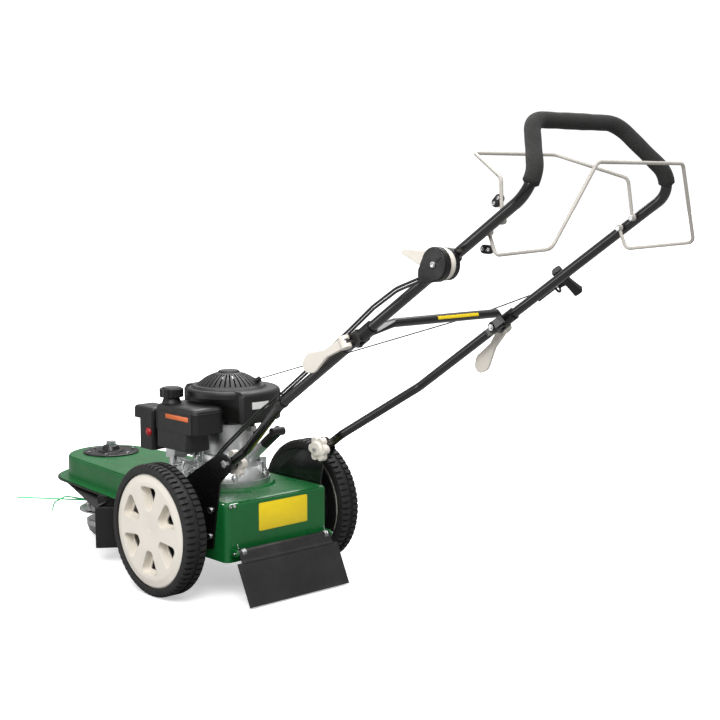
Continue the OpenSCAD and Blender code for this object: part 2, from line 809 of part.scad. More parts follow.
// Carburettor behind the filter box, with the governor plate and its rods
module carburettor() {
    carb = [axle_x + 118, 92, case_z + 44];
    plate = [axle_x - 14, 104, case_z + 4];
    color("silver") {
        translate(carb - [0, 0, 30]) cylinder(r = 18, h = 34);
        translate(carb - [18, 18, 0]) cube([36, 36, 24]);
        rod([carb.x, fin_y, carb.z + 12], carb + [0, 0, 12], 22);
        rod(carb + [0, 4, 12], [box_x - 22, carb.y + 6, carb.z + 30], 20);
        rod([box_x - 24, carb.y + 6, carb.z + 30], [box_x - 18, carb.y + 6, carb.z + 30], 24);
        translate(plate) cube([110, 3, 46]);
        translate(plate + [20, -24, 0]) cube([24, 26, 3]);
        rod(plate + [20, 0, 30], plate + [20, 16, 30], 9);
        rod(plate + [62, 0, 14], plate + [62, 14, 14], 9);
        bent_rod([plate + [20, 12, 30], plate + [64, 12, 40],
            plate + [104, 12, 32], carb + [-6, 14, 18]], 8, 3);
        bent_rod([plate + [62, 11, 14], plate + [30, 11, 6], plate + [6, 11, 26]], 6, 3);
    }
}

module muffler() {
    can = [96, 74, 66];
    at = [axle_x + 96, -fin_y - can.y - 10, case_z + 48];
    color("gray") {
        translate(at) soft_box(can, 14);
        rod([at.x + 50, -fin_y, at.z + 34], [at.x + 50, -fin_y - 16, at.z + 34], 30);
        for (i = [0:4]) translate([at.x + 14 + 15 * i, at.y - 5, at.z + 10]) cube([7, 8, can.z - 20]);
    }
}

module dipstick() {
    axis = unit(oil_top - oil_foot);
    color("#151516") {
        rod(oil_top + slip_gap * axis, oil_top + 62 * axis, 24);
        rod(oil_top - 30 * axis, oil_top + axis, 8);
        rod(oil_top + 56 * axis - [0, 17, 0], oil_top + 56 * axis + [0, 17, 0], 20);
    }
}

// Section of the tyre, half a rounded box whose inner side sits on the rim
module tyre_section(r, w) {
    edge = 8;
    bead = rim_d / 2 + 0.2;
    half_section = concat([[bead, w / 2 - 8], [bead + 6, w / 2 - 8], [bead + 6, w / 2]],
        [for (a = [0:30:90]) [r - edge + edge * sin(a), w / 2 - edge + edge * cos(a)]]);
    polygon(concat(half_section,
        [for (i = [len(half_section) - 1:-1:0]) [half_section[i].x, -half_section[i].y]]));
}

// Ring of tread lugs seen along the axle
module lug_ring() {
    r = wheel_d / 2 + 2;
    pitch = 360 / lug_count;
    difference() {
        polygon([for (i = [0:lug_count - 1], k = [0:3])
            let (a = pitch * (i + [0, 0.56, 0.64, 0.92][k]), q = k < 2 ? r : wheel_d / 2 - lug_depth - 2)
                [q * cos(a), q * sin(a)]]);
        circle(r = wheel_d / 2 - lug_depth - 6);
    }
}

module tyre() {
    band = tyre_w * 0.4;
    color("#1a1a1a") {
        rotate_extrude($fn = fine) tyre_section(wheel_d / 2 - lug_depth, tyre_w);
        intersection() {
            rotate_extrude($fn = fine) tyre_section(wheel_d / 2, tyre_w - 1.6);
            union() {
                translate([0, 0, tyre_w / 2 - band]) linear_extrude(band) lug_ring();
                translate([0, 0, -tyre_w / 2]) linear_extrude(band) rotate(180 / lug_count) lug_ring();
            }
        }
    }
}

// Outline of a pocket of the wheel disc, wider toward the rim
module pocket_plan(grow) {
    inner = 56;
    outer = rim_d / 2 - 24;
    soft = 10;
    offset(r = soft + grow, $fn = blend)
        polygon([[inner, -3], [outer - soft, -19], [outer - soft, 19], [inner, 3]]);
}

// Moulded wheel: rim, dished disc with six pockets, hub barrel with a blind bore
module hub() {
    w = tyre_w / 2;
    rim = rim_d / 2;
    pockets = 6;
    pocket_depth = 20;
    color("#e6ddd2") difference() {
        union() {
            rotate_extrude($fn = fine) polygon([[0, w - 1.5], [26, w - 0.5], [46, w], [rim - 14, w],
                [rim + 2, w - 3], [rim + 5.5, w - 6], [rim + 5.5, w - 8 + 0.8], [rim, w - 8 + 0.8],
                [rim, 6 - w],
                [rim + 2.5, 3 - w], [rim - 8, 3 - w], [rim - 6, w - 10], [rim - 16, w - 7],
                [46, w - 7], [24, w - 9],
                [22, 4 - w], [0, 4 - w]]);
            for (i = [1:pockets]) rotate((i + 0.5) * 360 / pockets)
                translate([0, 0, w - pocket_depth - 3]) linear_extrude(pocket_depth) pocket_plan(3);
        }
        for (i = [1:pockets]) rotate((i + 0.5) * 360 / pockets) {
            translate([0, 0, w - pocket_depth]) linear_extrude(pocket_depth + over) pocket_plan(0);
            linear_extrude(w) pocket_plan(-7);
        }
        translate([0, 0, -w]) cylinder(d = axle_d + 2 * run_gap, h = 2 * w - 13);
    }
}

module left_wheel() {
    translate([axle_x, wheel_y, axle_z]) rotate([-90, 0, 0]) children();
}

module right_wheel() {
    mirror([0, 1, 0]) left_wheel() children();
}

module left_tyre() {
    left_wheel() tyre();
}

module left_hub() {
    left_wheel() hub();
}

module right_tyre() {
    right_wheel() tyre();
}

module right_hub() {
    right_wheel() hub();
}

// Hinged flap: barrel on the rod, narrow neck and wide sheet with a turned lower edge
module rear_flap() {
    barrel = ear_y - ear_t / 2 - slip_gap;
    sheet = 4;
    long = (flap_z + sheet * sin(flap_angle) - 2) / cos(flap_angle);
    neck = 24;
    color("#232323") translate([flap_x, 0, flap_z]) rotate([0, flap_angle, 0]) difference() {
        union() {
            y_rod(16, -barrel, barrel);
            translate([-8, -barrel, -neck]) cube([sheet, 2 * barrel, neck]);
            translate([-8, -flap_w / 2, -long]) cube([sheet, flap_w, long - neck]);
            translate([-8 - 1.5, -flap_w / 2, -long]) cube([sheet, flap_w, 4]);
            translate([-8 - 1.5, -barrel, -neck - 3]) cube([sheet, 2 * barrel, 6]);
        }
        y_rod(flap_rod_d + 2 * run_gap, -barrel - over, barrel + over);
    }
}

module star_knob() {
    r = knob_d / 2;
    lobe = r * 0.34;
    face = low_y - tube_r - slip_gap;
    color("#e6ddd2") translate([axle_x - stud_back, face, stud_z]) rotate([90, 0, 0]) difference() {
        union() {
            linear_extrude(knob_t - 5) difference() {
                union() {
                    circle(r = r * 0.78);
                    for (i = [0:knob_lobes - 1]) rotate(i * 360 / knob_lobes)
                        translate([r - lobe, 0]) circle(r = lobe);
                }
                for (i = [0:knob_lobes - 1]) rotate((i + 0.5) * 360 / knob_lobes)
                    translate([r * 1.02, 0]) circle(r = r * 0.2);
            }
            translate([0, 0, knob_t - 6]) cylinder(r1 = r * 0.7, r2 = r * 0.5, h = 6);
        }
        translate([0, 0, -over]) cylinder(d = stud_d + 2 * run_gap, h = knob_t + 2 * over);
    }
}

module left_knob() {
    star_knob();
}

module right_knob() {
    mirror([0, 1, 0]) star_knob();
}

// Lower tube: eye on the stud, two bends out to the width of the grip, tang for the fold
module lower_tube() {
    end_s = fold_s - fold_tang;
    color("#161617") difference() {
        union() {
            bent_tube([on_handle(12, low_y), on_handle(low_bend_s, low_y), on_handle(flare_s, tube_y),
                on_handle(end_s, tube_y)], 60, tube_d, tube_t);
            tube_rod(0, 0, 30, low_y - tube_r, low_y + tube_r);
            on_tube(0, low_y) rotate([0, 90, 0]) cylinder(r = tube_r - tube_t / 2, h = 26);
            on_tube(end_s - 14, tube_y) rotate([0, 90, 0]) cylinder(r = tube_r - tube_t / 2, h = 16);
            on_tube(end_s, tube_y) translate([0, -tang_t / 2, -8]) cube([fold_tang, tang_t, 16]);
            tube_rod(fold_s, 0, 24, tube_y - tang_t / 2, tube_y + tang_t / 2);
        }
        tube_rod(0, 0, stud_d + 2 * run_gap, low_y - tube_d, low_y + tube_d);
        on_tube(44, low_y) rotate([180, 0, 0]) cylinder(d = 5, h = tube_d);
        tube_rod(fold_s, 0, bolt_d + 2 * run_gap, tube_y - tube_d, tube_y + tube_d);
    }
}

module left_lower_tube() {
    lower_tube();
}

module right_lower_tube() {
    mirror([0, 1, 0]) lower_tube();
}

grip_path = there_and_back([on_handle(fold_s + fold_web + 4, tube_y), on_handle(bend_s, tube_y),
    on_handle(bend_s - 6, grip_half, grip_rise)]);
grip_bend = 52;

module upper_handle() {
    color("#161617") difference() {
        bent_tube(grip_path, grip_bend, tube_d, tube_t);
        both_sides() for (s = [opc_s, drive_s]) tube_rod(s, 0, pin_d, tube_y - tube_d, tube_y);
    }
}

// Foam sleeve over the loop, from the middle of each lower bend
module foam_shape(d, skip) {
    p = grip_path;
    start = p[1] + (bend_cut(p, 1, grip_bend) - bend_lap) * unit(p[2] - p[1]);
    both_sides() bend(p[0], p[1], p[2], grip_bend, d, skip);
    bent_rod(there_and_back([start, p[2]]), grip_bend, d);
}

module foam_grip() {
    color("#2c2c2d") difference() {
        foam_shape(foam_d, 0.5);
        foam_shape(tube_d + 2 * slip_gap, 0.48);
    }
}

// Cross brace: round bar whose ends are pressed flat against the collars
module cross_brace() {
    reach = tab_y - 38;
    color("#161617") {
        tube_rod(brace_s, brace_n, brace_d, -reach - 1, reach + 1);
        both_sides() {
            hull() {
                tube_rod(brace_s, brace_n, brace_d, reach, reach + 1);
                on_tube(brace_s - 24, tab_y + tab_t / 2) translate([-1, -tab_t / 2, -8]) cube([3, tab_t, 18]);
            }
            on_tube(brace_s - 24, tab_y + tab_t / 2) translate([-26, -tab_t / 2, -8]) cube([27, tab_t, 18]);
        }
    }
}

// Fold collar: sleeve on the upper tube with two cheeks round the lower tube's tang
module fold_collars() {
    cheek_t = collar_r - cheek_in;
    color("#1b1d1c") both_sides() difference() {
        union() {
            on_tube(fold_s + fold_web, tube_y) rotate([0, 90, 0]) cylinder(r = collar_r, h = collar_l);
            for (side = [-1, 1]) {
                inner = tube_y + side * (cheek_in + cheek_t / 2);
                tube_rod(fold_s, 0, 2 * collar_r, inner - cheek_t / 2, inner + cheek_t / 2);
                on_tube(fold_s, inner) translate([0, -cheek_t / 2, -collar_r + 1])
                    cube([fold_web + 6, cheek_t, 2 * collar_r - 2]);
            }
        }
        on_tube(fold_s + fold_web + 4, tube_y) rotate([0, 90, 0]) cylinder(r = tube_r, h = collar_l + over);
        tube_rod(fold_s, 0, bolt_d, tube_y - 2 * collar_r, tube_y + 2 * collar_r);
    }
}

// Frame on a cam lever: X along the lever, Y away from the machine
module on_cam(angle) {
    p = on_handle(fold_s, cam_y);
    translate(p) rotate([0, angle, 0]) children();
}

module fold_bolt(angle) {
    nut_y = tube_y - collar_r;
    tube_rod(fold_s, 0, bolt_d, nut_y - 8, cam_y - 3);
    translate(on_handle(fold_s, nut_y)) rotate([90, 0, 0]) hex_head(13, 6);
    on_cam(angle) {
        translate([0, 0, -4]) cylinder(r = 6, h = 8);
        translate([0, 0, -12]) cylinder(d = pin_d, h = 24);
    }
}

module fold_bolts() {
    color("silver") {
        fold_bolt(left_cam_angle);
        mirror([0, 1, 0]) fold_bolt(right_cam_angle);
    }
}

// Cam lever: forked cam on the bolt's cross pin, tapering arm and oval thumb plate
module cam_lever(angle) {
    width = 24;
    reach = 104;
    color("#e6ddd2") on_cam(angle) difference() {
        union() {
            translate([0, 0, -width / 2]) cylinder(r = cam_r, h = width);
            hull() {
                translate([4, -3, -10]) cube([6, 10, 20]);
                translate([58, 0, -7]) cube([6, 7, 14]);
            }
            hull() {
                translate([54, 0, -7]) cube([6, 7, 14]);
                translate([reach - 14, 6, 0]) rotate([90, 0, 0]) cylinder(r = 16, h = 6, $fn = 32);
                translate([reach, 6, 0]) rotate([90, 0, 0]) cylinder(r = 20, h = 5, $fn = 32);
                translate([reach + 10, 6, 0]) rotate([90, 0, 0]) cylinder(r = 16, h = 5, $fn = 32);
            }
        }
        translate([-width, -width, -4 - slip_gap]) cube([width + 7, width + 7, 8 + 2 * slip_gap]);
        translate([0, 0, -width]) cylinder(d = pin_d + 2 * run_gap, h = 2 * width);
    }
}

module left_cam_lever() {
    cam_lever(left_cam_angle);
}

module right_cam_lever() {
    mirror([0, 1, 0]) cam_lever(right_cam_angle);
}

// Throttle control: clamp on the tube, pivot bolt and teardrop cover
module throttle_housing() {
    cover_y = disc_y + disc_t + 2 * slip_gap;
    cover_t = 11;
    tail = 46;
    at = on_handle(throttle_s, 0, throttle_n);
    color("#1b1b1c") {
        difference() {
            union() {
                y_rod(2 * disc_r + 2, disc_y - 9, disc_y, at.x, at.z);
                on_tube(throttle_s - 18, tube_y) rotate([0, 90, 0]) cylinder(r = tube_r + 4, h = 36);
            }
            on_tube(throttle_s - 40, tube_y) rotate([0, 90, 0]) cylinder(r = tube_r, h = 80);
        }
        y_rod(8, disc_y - 3, cover_y + 3, at.x, at.z);
        translate([0, cover_y + cover_t, 0]) rotate([90, 0, 0]) linear_extrude(cover_t) {
            translate([at.x, at.z]) circle(r = disc_r + 3);
            translate([at.x, at.z]) rotate(-handle_angle)
                polygon([[0, disc_r], [tail - 8, 14], [tail, 4], [tail - 4, -16], [0, -disc_r]]);
        }
    }
}

module throttle_lever() {
    at = on_handle(throttle_s, 0, throttle_n);
    color("#e6ddd2") difference() {
        union() {
            y_rod(2 * disc_r, disc_y + slip_gap, disc_y + slip_gap + disc_t, at.x, at.z);
            translate([at.x, disc_y + slip_gap + disc_t, at.z]) rotate([90, 0, 0])
                linear_extrude(disc_t) rotate(10)
                polygon([[4, disc_r - 1], [38, 16], [88, 9], [95, 5], [96, 1],
                    [92, -1], [38, -14], [10, -disc_r + 2]]);
        }
        y_rod(8 + 2 * run_gap, disc_y - over, disc_y + disc_t + 2, at.x, at.z);
    }
}

module bail_pivots() {
    color("silver") both_sides() for (s = [opc_s, drive_s]) {
        tube_rod(s, 0, pin_d, eye_y - 1, tube_y - tube_r + tube_t);
        tube_rod(s, 0, 11, eye_y - 3, eye_y - slip_gap);
    }
}

// Wire bail between two eyes; the path runs from the left eye to the middle
module bail(s, path) {
    color("#d5d0c8") difference() {
        union() {
            bent_rod(there_and_back(path), 14, wire_d);
            both_sides() tube_rod(s, 0, 13, eye_y, eye_y + eye_w);
        }
        both_sides() tube_rod(s, 0, pin_d + 2 * run_gap, eye_y - 9, eye_y + eye_w + 9);
    }
}

module opc_bail() {
    bail(opc_s, [on_handle(opc_s, eye_y + eye_w / 2), on_handle(opc_s + 34, 180, 66),
        on_handle(opc_s - 43, 114, 171)]);
}

module drive_bail() {
    bail(drive_s, [on_handle(drive_s, eye_y + eye_w / 2), on_handle(drive_s - 8, eye_y + eye_w / 2, -42),
        on_handle(drive_s + 116, 204, -105), on_handle(drive_s + 218, 122, -2)]);
}

// Rope guide: strap bolted to the right tube with a wire eye for the starter rope
module rope_guide() {
    eye = on_handle(guide_s, guide_y);
    ring_r = 10;
    color("#2a2a2b") {
        translate(eye) rotate([0, acos(pull.z), atan2(pull.y, pull.x)]) rotate_extrude()
            translate([ring_r, 0]) circle(d = 5);
        on_tube(guide_s, 0) translate([-40, tube_y + tube_r, -9]) cube([46, 3, 18]);
        rod(on_handle(guide_s, -tube_y - tube_r - 1), on_handle(guide_s, guide_y + ring_r), 6);
        tube_rod(guide_s - 30, 0, 9, -tube_y - tube_r - 7, -tube_y - tube_r - 2);
    }
}

grip_at = on_handle(guide_s, guide_y) + 4 * pull;
grip_across = unit(cross(pull, cross(0.63 * out + [0, 0.775, 0], pull)));

// T grip of the starter, held in the guide's eye
module starter_grip() {
    bar = 34;
    color("#151516") difference() {
        union() {
            rod(grip_at, grip_at + 24 * pull, 13);
            rod(grip_at + 22 * pull - bar * grip_across, grip_at + 22 * pull + bar * grip_across, 18);
            for (end = [-1, 1])
                rod(grip_at + 22 * pull, grip_at + 22 * pull + end * (bar + 3) * grip_across, 14);
        }
        rod(grip_at - over * pull, grip_at + 10 * pull, rope_d + 1);
    }
}

rope_split = on_handle(fold_s, -172, 34);
rope_end = on_handle(guide_s, guide_y) - 16 * pull;

module rope_low() {
    dir = unit(rope_split - rope_out);
    color("gainsboro") rod(rope_out + 2 * cord_gap * dir, rope_split - cord_gap * dir, rope_d);
}

module rope_mid() {
    over_tube = on_handle(guide_s - 60, -tube_y - 18, 17);
    dir = unit(over_tube - rope_split);
    color("gainsboro") bent_rod([rope_split + cord_gap * dir, over_tube, rope_end], 20, rope_d);
}

module rope_tail() {
    color("gainsboro") rod(rope_end + 2 * cord_gap * pull, grip_at + 9 * pull, rope_d);
}

tie_s = 322;
cable_gap = cable_d + 1;
cable_n = tube_r + cable_d / 2 + slip_gap;

// Two control cables side by side along the same path
module cable_pair(path, r) {
    color("#111111") for (k = [0, 1])
        bent_rod([for (p = path) p + k * cable_gap * out], r, cable_d);
}

module cable_low() {
    cable_pair([on_handle(tie_s - 2, tube_y, cable_n), [axle_x - 300, 176, 446], [axle_x - 150, 150, 350],
        [axle_x - 60, 124, case_z + 52], [axle_x - 16, 118, case_z + 34]], 24);
}

module cable_high() {
    cable_pair([on_handle(tie_s + 2, tube_y, cable_n), on_handle(tie_s + 80, tube_y, cable_n + 2),
        on_handle(fold_s, tube_y, collar_r + 8), on_handle(fold_s + 100, tube_y + 20, cable_n + 3),
        on_handle(throttle_s - 110, disc_y + 21, 4),
        on_handle(throttle_s - 47, disc_y + 21, throttle_n - 5)], 80);
}

module spindle_shaft() {
    color("silver") {
        translate([0, 0, hub_z]) cylinder(d = spindle_d, h = shaft_top - hub_z);
        translate([0, 0, deck_top + 21 + slip_gap]) hex_head(22, 8);
        translate([0, 0, stub_z]) cylinder(d = stub_d, h = hub_z - stub_z + over);
    }
}

// Line plate with its hub and the two posts that hold the folded lines
module string_head() {
    color("silver") difference() {
        union() {
            rotate_extrude($fn = fine) polygon([[0, line_plate_z], [line_plate_r - 6, line_plate_z],
                [line_plate_r, line_plate_z - 3], [line_plate_r, line_plate_z],
                [line_plate_r - 5, line_plate_z + 3],
                [0, line_plate_z + 3]]);
            translate([0, 0, hub_z]) cylinder(r = 26, h = 44);
            for (side = [0, 180]) rotate(side) rotate(28) translate([line_plate_r - 18, 0, line_plate_z]) {
                cylinder(d = 20, h = 7);
                cylinder(d = 8, h = 22);
                translate([0, 0, 17]) hex_head(13, 6);
            }
        }
        translate([0, 0, hub_z - over]) cylinder(d = spindle_d, h = 60);
    }
}

// Two folded lines; one leg of each is straight and the other droops
module trim_lines() {
    line_d = 2.7;
    line_z = line_plate_z + 12;
    root = line_plate_r - 18 + 4 + line_d / 2 + slip_gap;
    color("limegreen") for (side = [0, 180]) rotate(side) rotate(28) {
        rod([root, 3, line_z], [cut_r, 14, line_z - 6], line_d);
        bent_rod([[root, 0, line_z], [root + 70, -4, line_z + 4], [root + 112, -12, line_z - 18],
            [root + 122, -18, line_z - 42]], 30, line_d);
        rod([root, -4, line_z], [root, 6, line_z], line_d);
    }
}

// Glide cup that turns freely on the foot of the spindle and carries the nose
module glide_cup() {
    color("gray") difference() {
        rotate_extrude($fn = fine) polygon([[0, 0], [34, 0], [52, 6], [62, 16], [cup_r, 34], [cup_r, 46],
            [cup_r - 4, 48], [20, 50], [16, hub_z - slip_gap], [0, hub_z - slip_gap]]);
        translate([0, 0, stub_z - 2]) cylinder(d = stub_d + 2 * run_gap, h = hub_z);
    }
}

deck();
belly_plate();
front_guard();
spindle_cover();
spindle_bearings();
deck_bolts();
drive_belt();
side_brackets();
axle();
gearbox();
dust_covers();
flap_rod();
handle_studs();
crankcase();
cylinder_head();
blower_shroud();
recoil_housing();
fuel_tank();
filter_box();
carburettor();
muffler();
left_tyre();
left_hub();
right_tyre();
right_hub();
rear_flap();
left_knob();
right_knob();
left_lower_tube();
right_lower_tube();
upper_handle();
foam_grip();
cross_brace();
fold_collars();
fold_bolts();
left_cam_lever();
right_cam_lever();
throttle_housing();
throttle_lever();
bail_pivots();
opc_bail();
drive_bail();
rope_guide();
starter_grip();
rope_low();
rope_mid();
rope_tail();
cable_low();
cable_high();
crankshaft();
flywheel();
engine_pulley();
spindle_shaft();
spindle_pulley();
string_head();
trim_lines();
glide_cup();
fuel_cap();
primer_bulb();
dipstick();
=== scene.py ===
"""Looks of the wheeled string trimmer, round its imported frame. Metres; X forward, Y to the left, Z up."""
import json
import math

import bmesh
import bpy
from mathutils import Matrix, Quaternion, Vector


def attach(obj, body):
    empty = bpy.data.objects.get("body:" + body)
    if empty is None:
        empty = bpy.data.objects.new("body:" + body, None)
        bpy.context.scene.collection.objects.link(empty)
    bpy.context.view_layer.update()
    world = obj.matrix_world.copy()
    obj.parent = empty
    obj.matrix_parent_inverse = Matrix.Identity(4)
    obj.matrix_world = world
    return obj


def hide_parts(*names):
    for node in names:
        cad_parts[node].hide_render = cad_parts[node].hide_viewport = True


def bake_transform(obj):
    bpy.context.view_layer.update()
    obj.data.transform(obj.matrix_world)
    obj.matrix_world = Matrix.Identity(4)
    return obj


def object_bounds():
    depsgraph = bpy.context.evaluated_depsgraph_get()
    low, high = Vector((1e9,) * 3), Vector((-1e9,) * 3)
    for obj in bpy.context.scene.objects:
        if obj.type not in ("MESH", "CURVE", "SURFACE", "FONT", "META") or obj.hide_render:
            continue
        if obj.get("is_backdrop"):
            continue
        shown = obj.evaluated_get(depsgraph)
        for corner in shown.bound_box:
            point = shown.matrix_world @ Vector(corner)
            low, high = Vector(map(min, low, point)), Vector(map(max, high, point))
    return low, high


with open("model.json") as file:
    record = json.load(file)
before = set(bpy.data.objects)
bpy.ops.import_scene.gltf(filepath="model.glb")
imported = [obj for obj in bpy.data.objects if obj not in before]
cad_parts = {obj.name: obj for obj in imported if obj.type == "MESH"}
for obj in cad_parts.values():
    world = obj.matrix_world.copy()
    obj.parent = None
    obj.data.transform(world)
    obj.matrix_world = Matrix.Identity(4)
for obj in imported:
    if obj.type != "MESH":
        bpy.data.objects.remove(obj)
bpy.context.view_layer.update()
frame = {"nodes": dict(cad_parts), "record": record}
node_of = frame["nodes"]


# Places that the pieces share with the solids

MM = 0.001
STUD = Vector((-0.706, 0, 0.316))
HANDLE_TILT = math.radians(33.6)
UP = Vector((-math.cos(HANDLE_TILT), 0, math.sin(HANDLE_TILT)))
OUT = Vector((math.sin(HANDLE_TILT), 0, math.cos(HANDLE_TILT)))
LEFT = Vector((0, 1, 0))
TUBE_R = 0.010
TUBE_Y = 0.203
TIE_S, FOLD_S, BRACE_S, THROTTLE_S = 322, 574, 634, 872
THROTTLE_N = -7
ENGINE_X = -0.520
SHROUD_R, SHROUD_FLAT = 0.122, 0.046
TAIL_X = -0.702
FLAP_AT = Vector((-0.722, 0, 0.113))
FLAP_TILT = math.radians(26)


def on_handle(s, y=0.0, n=0.0):
    """Point on the handle, with s along it from the stud, y to the left and n out of its plane, all in mm."""
    return STUD + UP * s * MM + OUT * n * MM + LEFT * y * MM


# Camera and stage

CAMERA_AT = Vector((-3.1304, 1.9868, 0.9298))
CAMERA_YAW = math.radians(42.725)
CAMERA_DIP = math.radians(7.165)
CAMERA_LENS, CAMERA_SENSOR = 69.41, 36
BACKDROP_GLOW = 1.05
FLOOR_AT, FLOOR_HALF = (-0.7, 0, -0.0005), 40
WHITE = (1, 1, 1, 1)


def make_camera():
    data = bpy.data.cameras.new("camera")
    data.sensor_width = CAMERA_SENSOR
    data.lens = CAMERA_LENS
    data.clip_end = 200
    cam = bpy.data.objects.new("camera", data)
    ahead = Vector((math.cos(CAMERA_DIP) * math.cos(CAMERA_YAW),
                    -math.cos(CAMERA_DIP) * math.sin(CAMERA_YAW), -math.sin(CAMERA_DIP)))
    cam.location = CAMERA_AT
    cam.rotation_mode = "QUATERNION"
    cam.rotation_quaternion = ahead.to_track_quat("-Z", "Y")
    bpy.context.scene.collection.objects.link(cam)
    bpy.context.scene.camera = cam


def soft_light(name, at, target, size, watts):
    data = bpy.data.lights.new(name, "AREA")
    data.shape = "RECTANGLE"
    data.size, data.size_y = size
    data.energy = watts
    light = bpy.data.objects.new(name, data)
    light.location = at
    light.rotation_mode = "QUATERNION"
    light.rotation_quaternion = (Vector(target) - Vector(at)).to_track_quat("-Z", "Y")
    bpy.context.scene.collection.objects.link(light)


def make_world():
    """White behind the object, and a dimmer light round it that falls off toward the horizon."""
    world = bpy.data.worlds.new("studio")
    world.use_nodes = True
    tree = world.node_tree
    fill = tree.nodes["Background"]
    fill.inputs["Color"].default_value = WHITE
    height = tree.nodes.new("ShaderNodeSeparateXYZ")
    tree.links.new(tree.nodes.new("ShaderNodeTexCoord").outputs["Generated"], height.inputs["Vector"])
    fall = tree.nodes.new("ShaderNodeMapRange")
    for key, value in (("From Min", -0.1), ("From Max", 0.8), ("To Min", 0.2), ("To Max", 0.66)):
        fall.inputs[key].default_value = value
    tree.links.new(height.outputs["Z"], fall.inputs["Value"])
    tree.links.new(fall.outputs["Result"], fill.inputs["Strength"])
    backdrop = tree.nodes.new("ShaderNodeBackground")
    backdrop.inputs["Color"].default_value = WHITE
    backdrop.inputs["Strength"].default_value = BACKDROP_GLOW
    choose = tree.nodes.new("ShaderNodeMixShader")
    tree.links.new(tree.nodes.new("ShaderNodeLightPath").outputs["Is Camera Ray"], choose.inputs["Fac"])
    tree.links.new(fill.outputs["Background"], choose.inputs[1])
    tree.links.new(backdrop.outputs["Background"], choose.inputs[2])
    tree.links.new(choose.outputs["Shader"], tree.nodes["World Output"].inputs["Surface"])
    bpy.context.scene.world = world
    bpy.context.scene.view_settings.view_transform = "Standard"


def floor_paper():
    """White paper that glows with distance, so that no horizon shows, and throws little light back."""
    paper = bpy.data.materials.new("floor_paper")
    paper.use_nodes = True
    nodes, links = paper.node_tree.nodes, paper.node_tree.links
    skin = nodes["Principled BSDF"]
    direct = nodes.new("ShaderNodeLightPath").outputs["Is Camera Ray"]
    tone = nodes.new("ShaderNodeMix")
    tone.data_type = "RGBA"
    tone.inputs[6].default_value = (0.28, 0.28, 0.28, 1)
    tone.inputs[7].default_value = (0.93, 0.93, 0.93, 1)
    links.new(direct, tone.inputs["Factor"])
    links.new(tone.outputs[2], skin.inputs["Base Color"])
    skin.inputs["Roughness"].default_value = 0.95
    skin.inputs["Specular IOR Level"].default_value = 0.1
    skin.inputs["Emission Color"].default_value = WHITE
    away = nodes.new("ShaderNodeVectorMath")
    away.operation = "LENGTH"
    links.new(nodes.new("ShaderNodeTexCoord").outputs["Object"], away.inputs[0])
    glow = nodes.new("ShaderNodeMapRange")
    for key, value in (("From Min", 0.5), ("From Max", 2.0), ("To Min", 0.46), ("To Max", 1.0)):
        glow.inputs[key].default_value = value
    links.new(away.outputs["Value"], glow.inputs["Value"])
    seen = nodes.new("ShaderNodeMath")
    seen.operation = "MULTIPLY"
    links.new(glow.outputs["Result"], seen.inputs[0])
    links.new(direct, seen.inputs[1])
    links.new(seen.outputs["Value"], skin.inputs["Emission Strength"])
    return paper


def make_stage():
    make_world()
    soft_light("key", (-2.9, 2.4, 3.4), (-0.8, 0, 0.3), (2.4, 2.4), 154)
    soft_light("overhead", (-0.4, -0.6, 3.3), (-0.8, 0, 0.2), (3.2, 2.6), 70)
    soft_light("rim", (1.5, -2.0, 3.2), (-0.6, 0, 0.4), (2.0, 2.0), 50)
    soft_light("side", (0.8, 2.4, 0.6), (-0.3, 0.2, 0.25), (1.6, 1.0), 12)
    bm = bmesh.new()
    bmesh.ops.create_grid(bm, x_segments=1, y_segments=1, size=FLOOR_HALF)
    mesh = bpy.data.meshes.new("floor")
    bm.to_mesh(mesh)
    bm.free()
    floor = bpy.data.objects.new("floor", mesh)
    floor.location = FLOOR_AT
    bpy.context.scene.collection.objects.link(floor)
    mesh.materials.append(floor_paper())
    floor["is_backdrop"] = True


make_camera()
make_stage()


# Materials

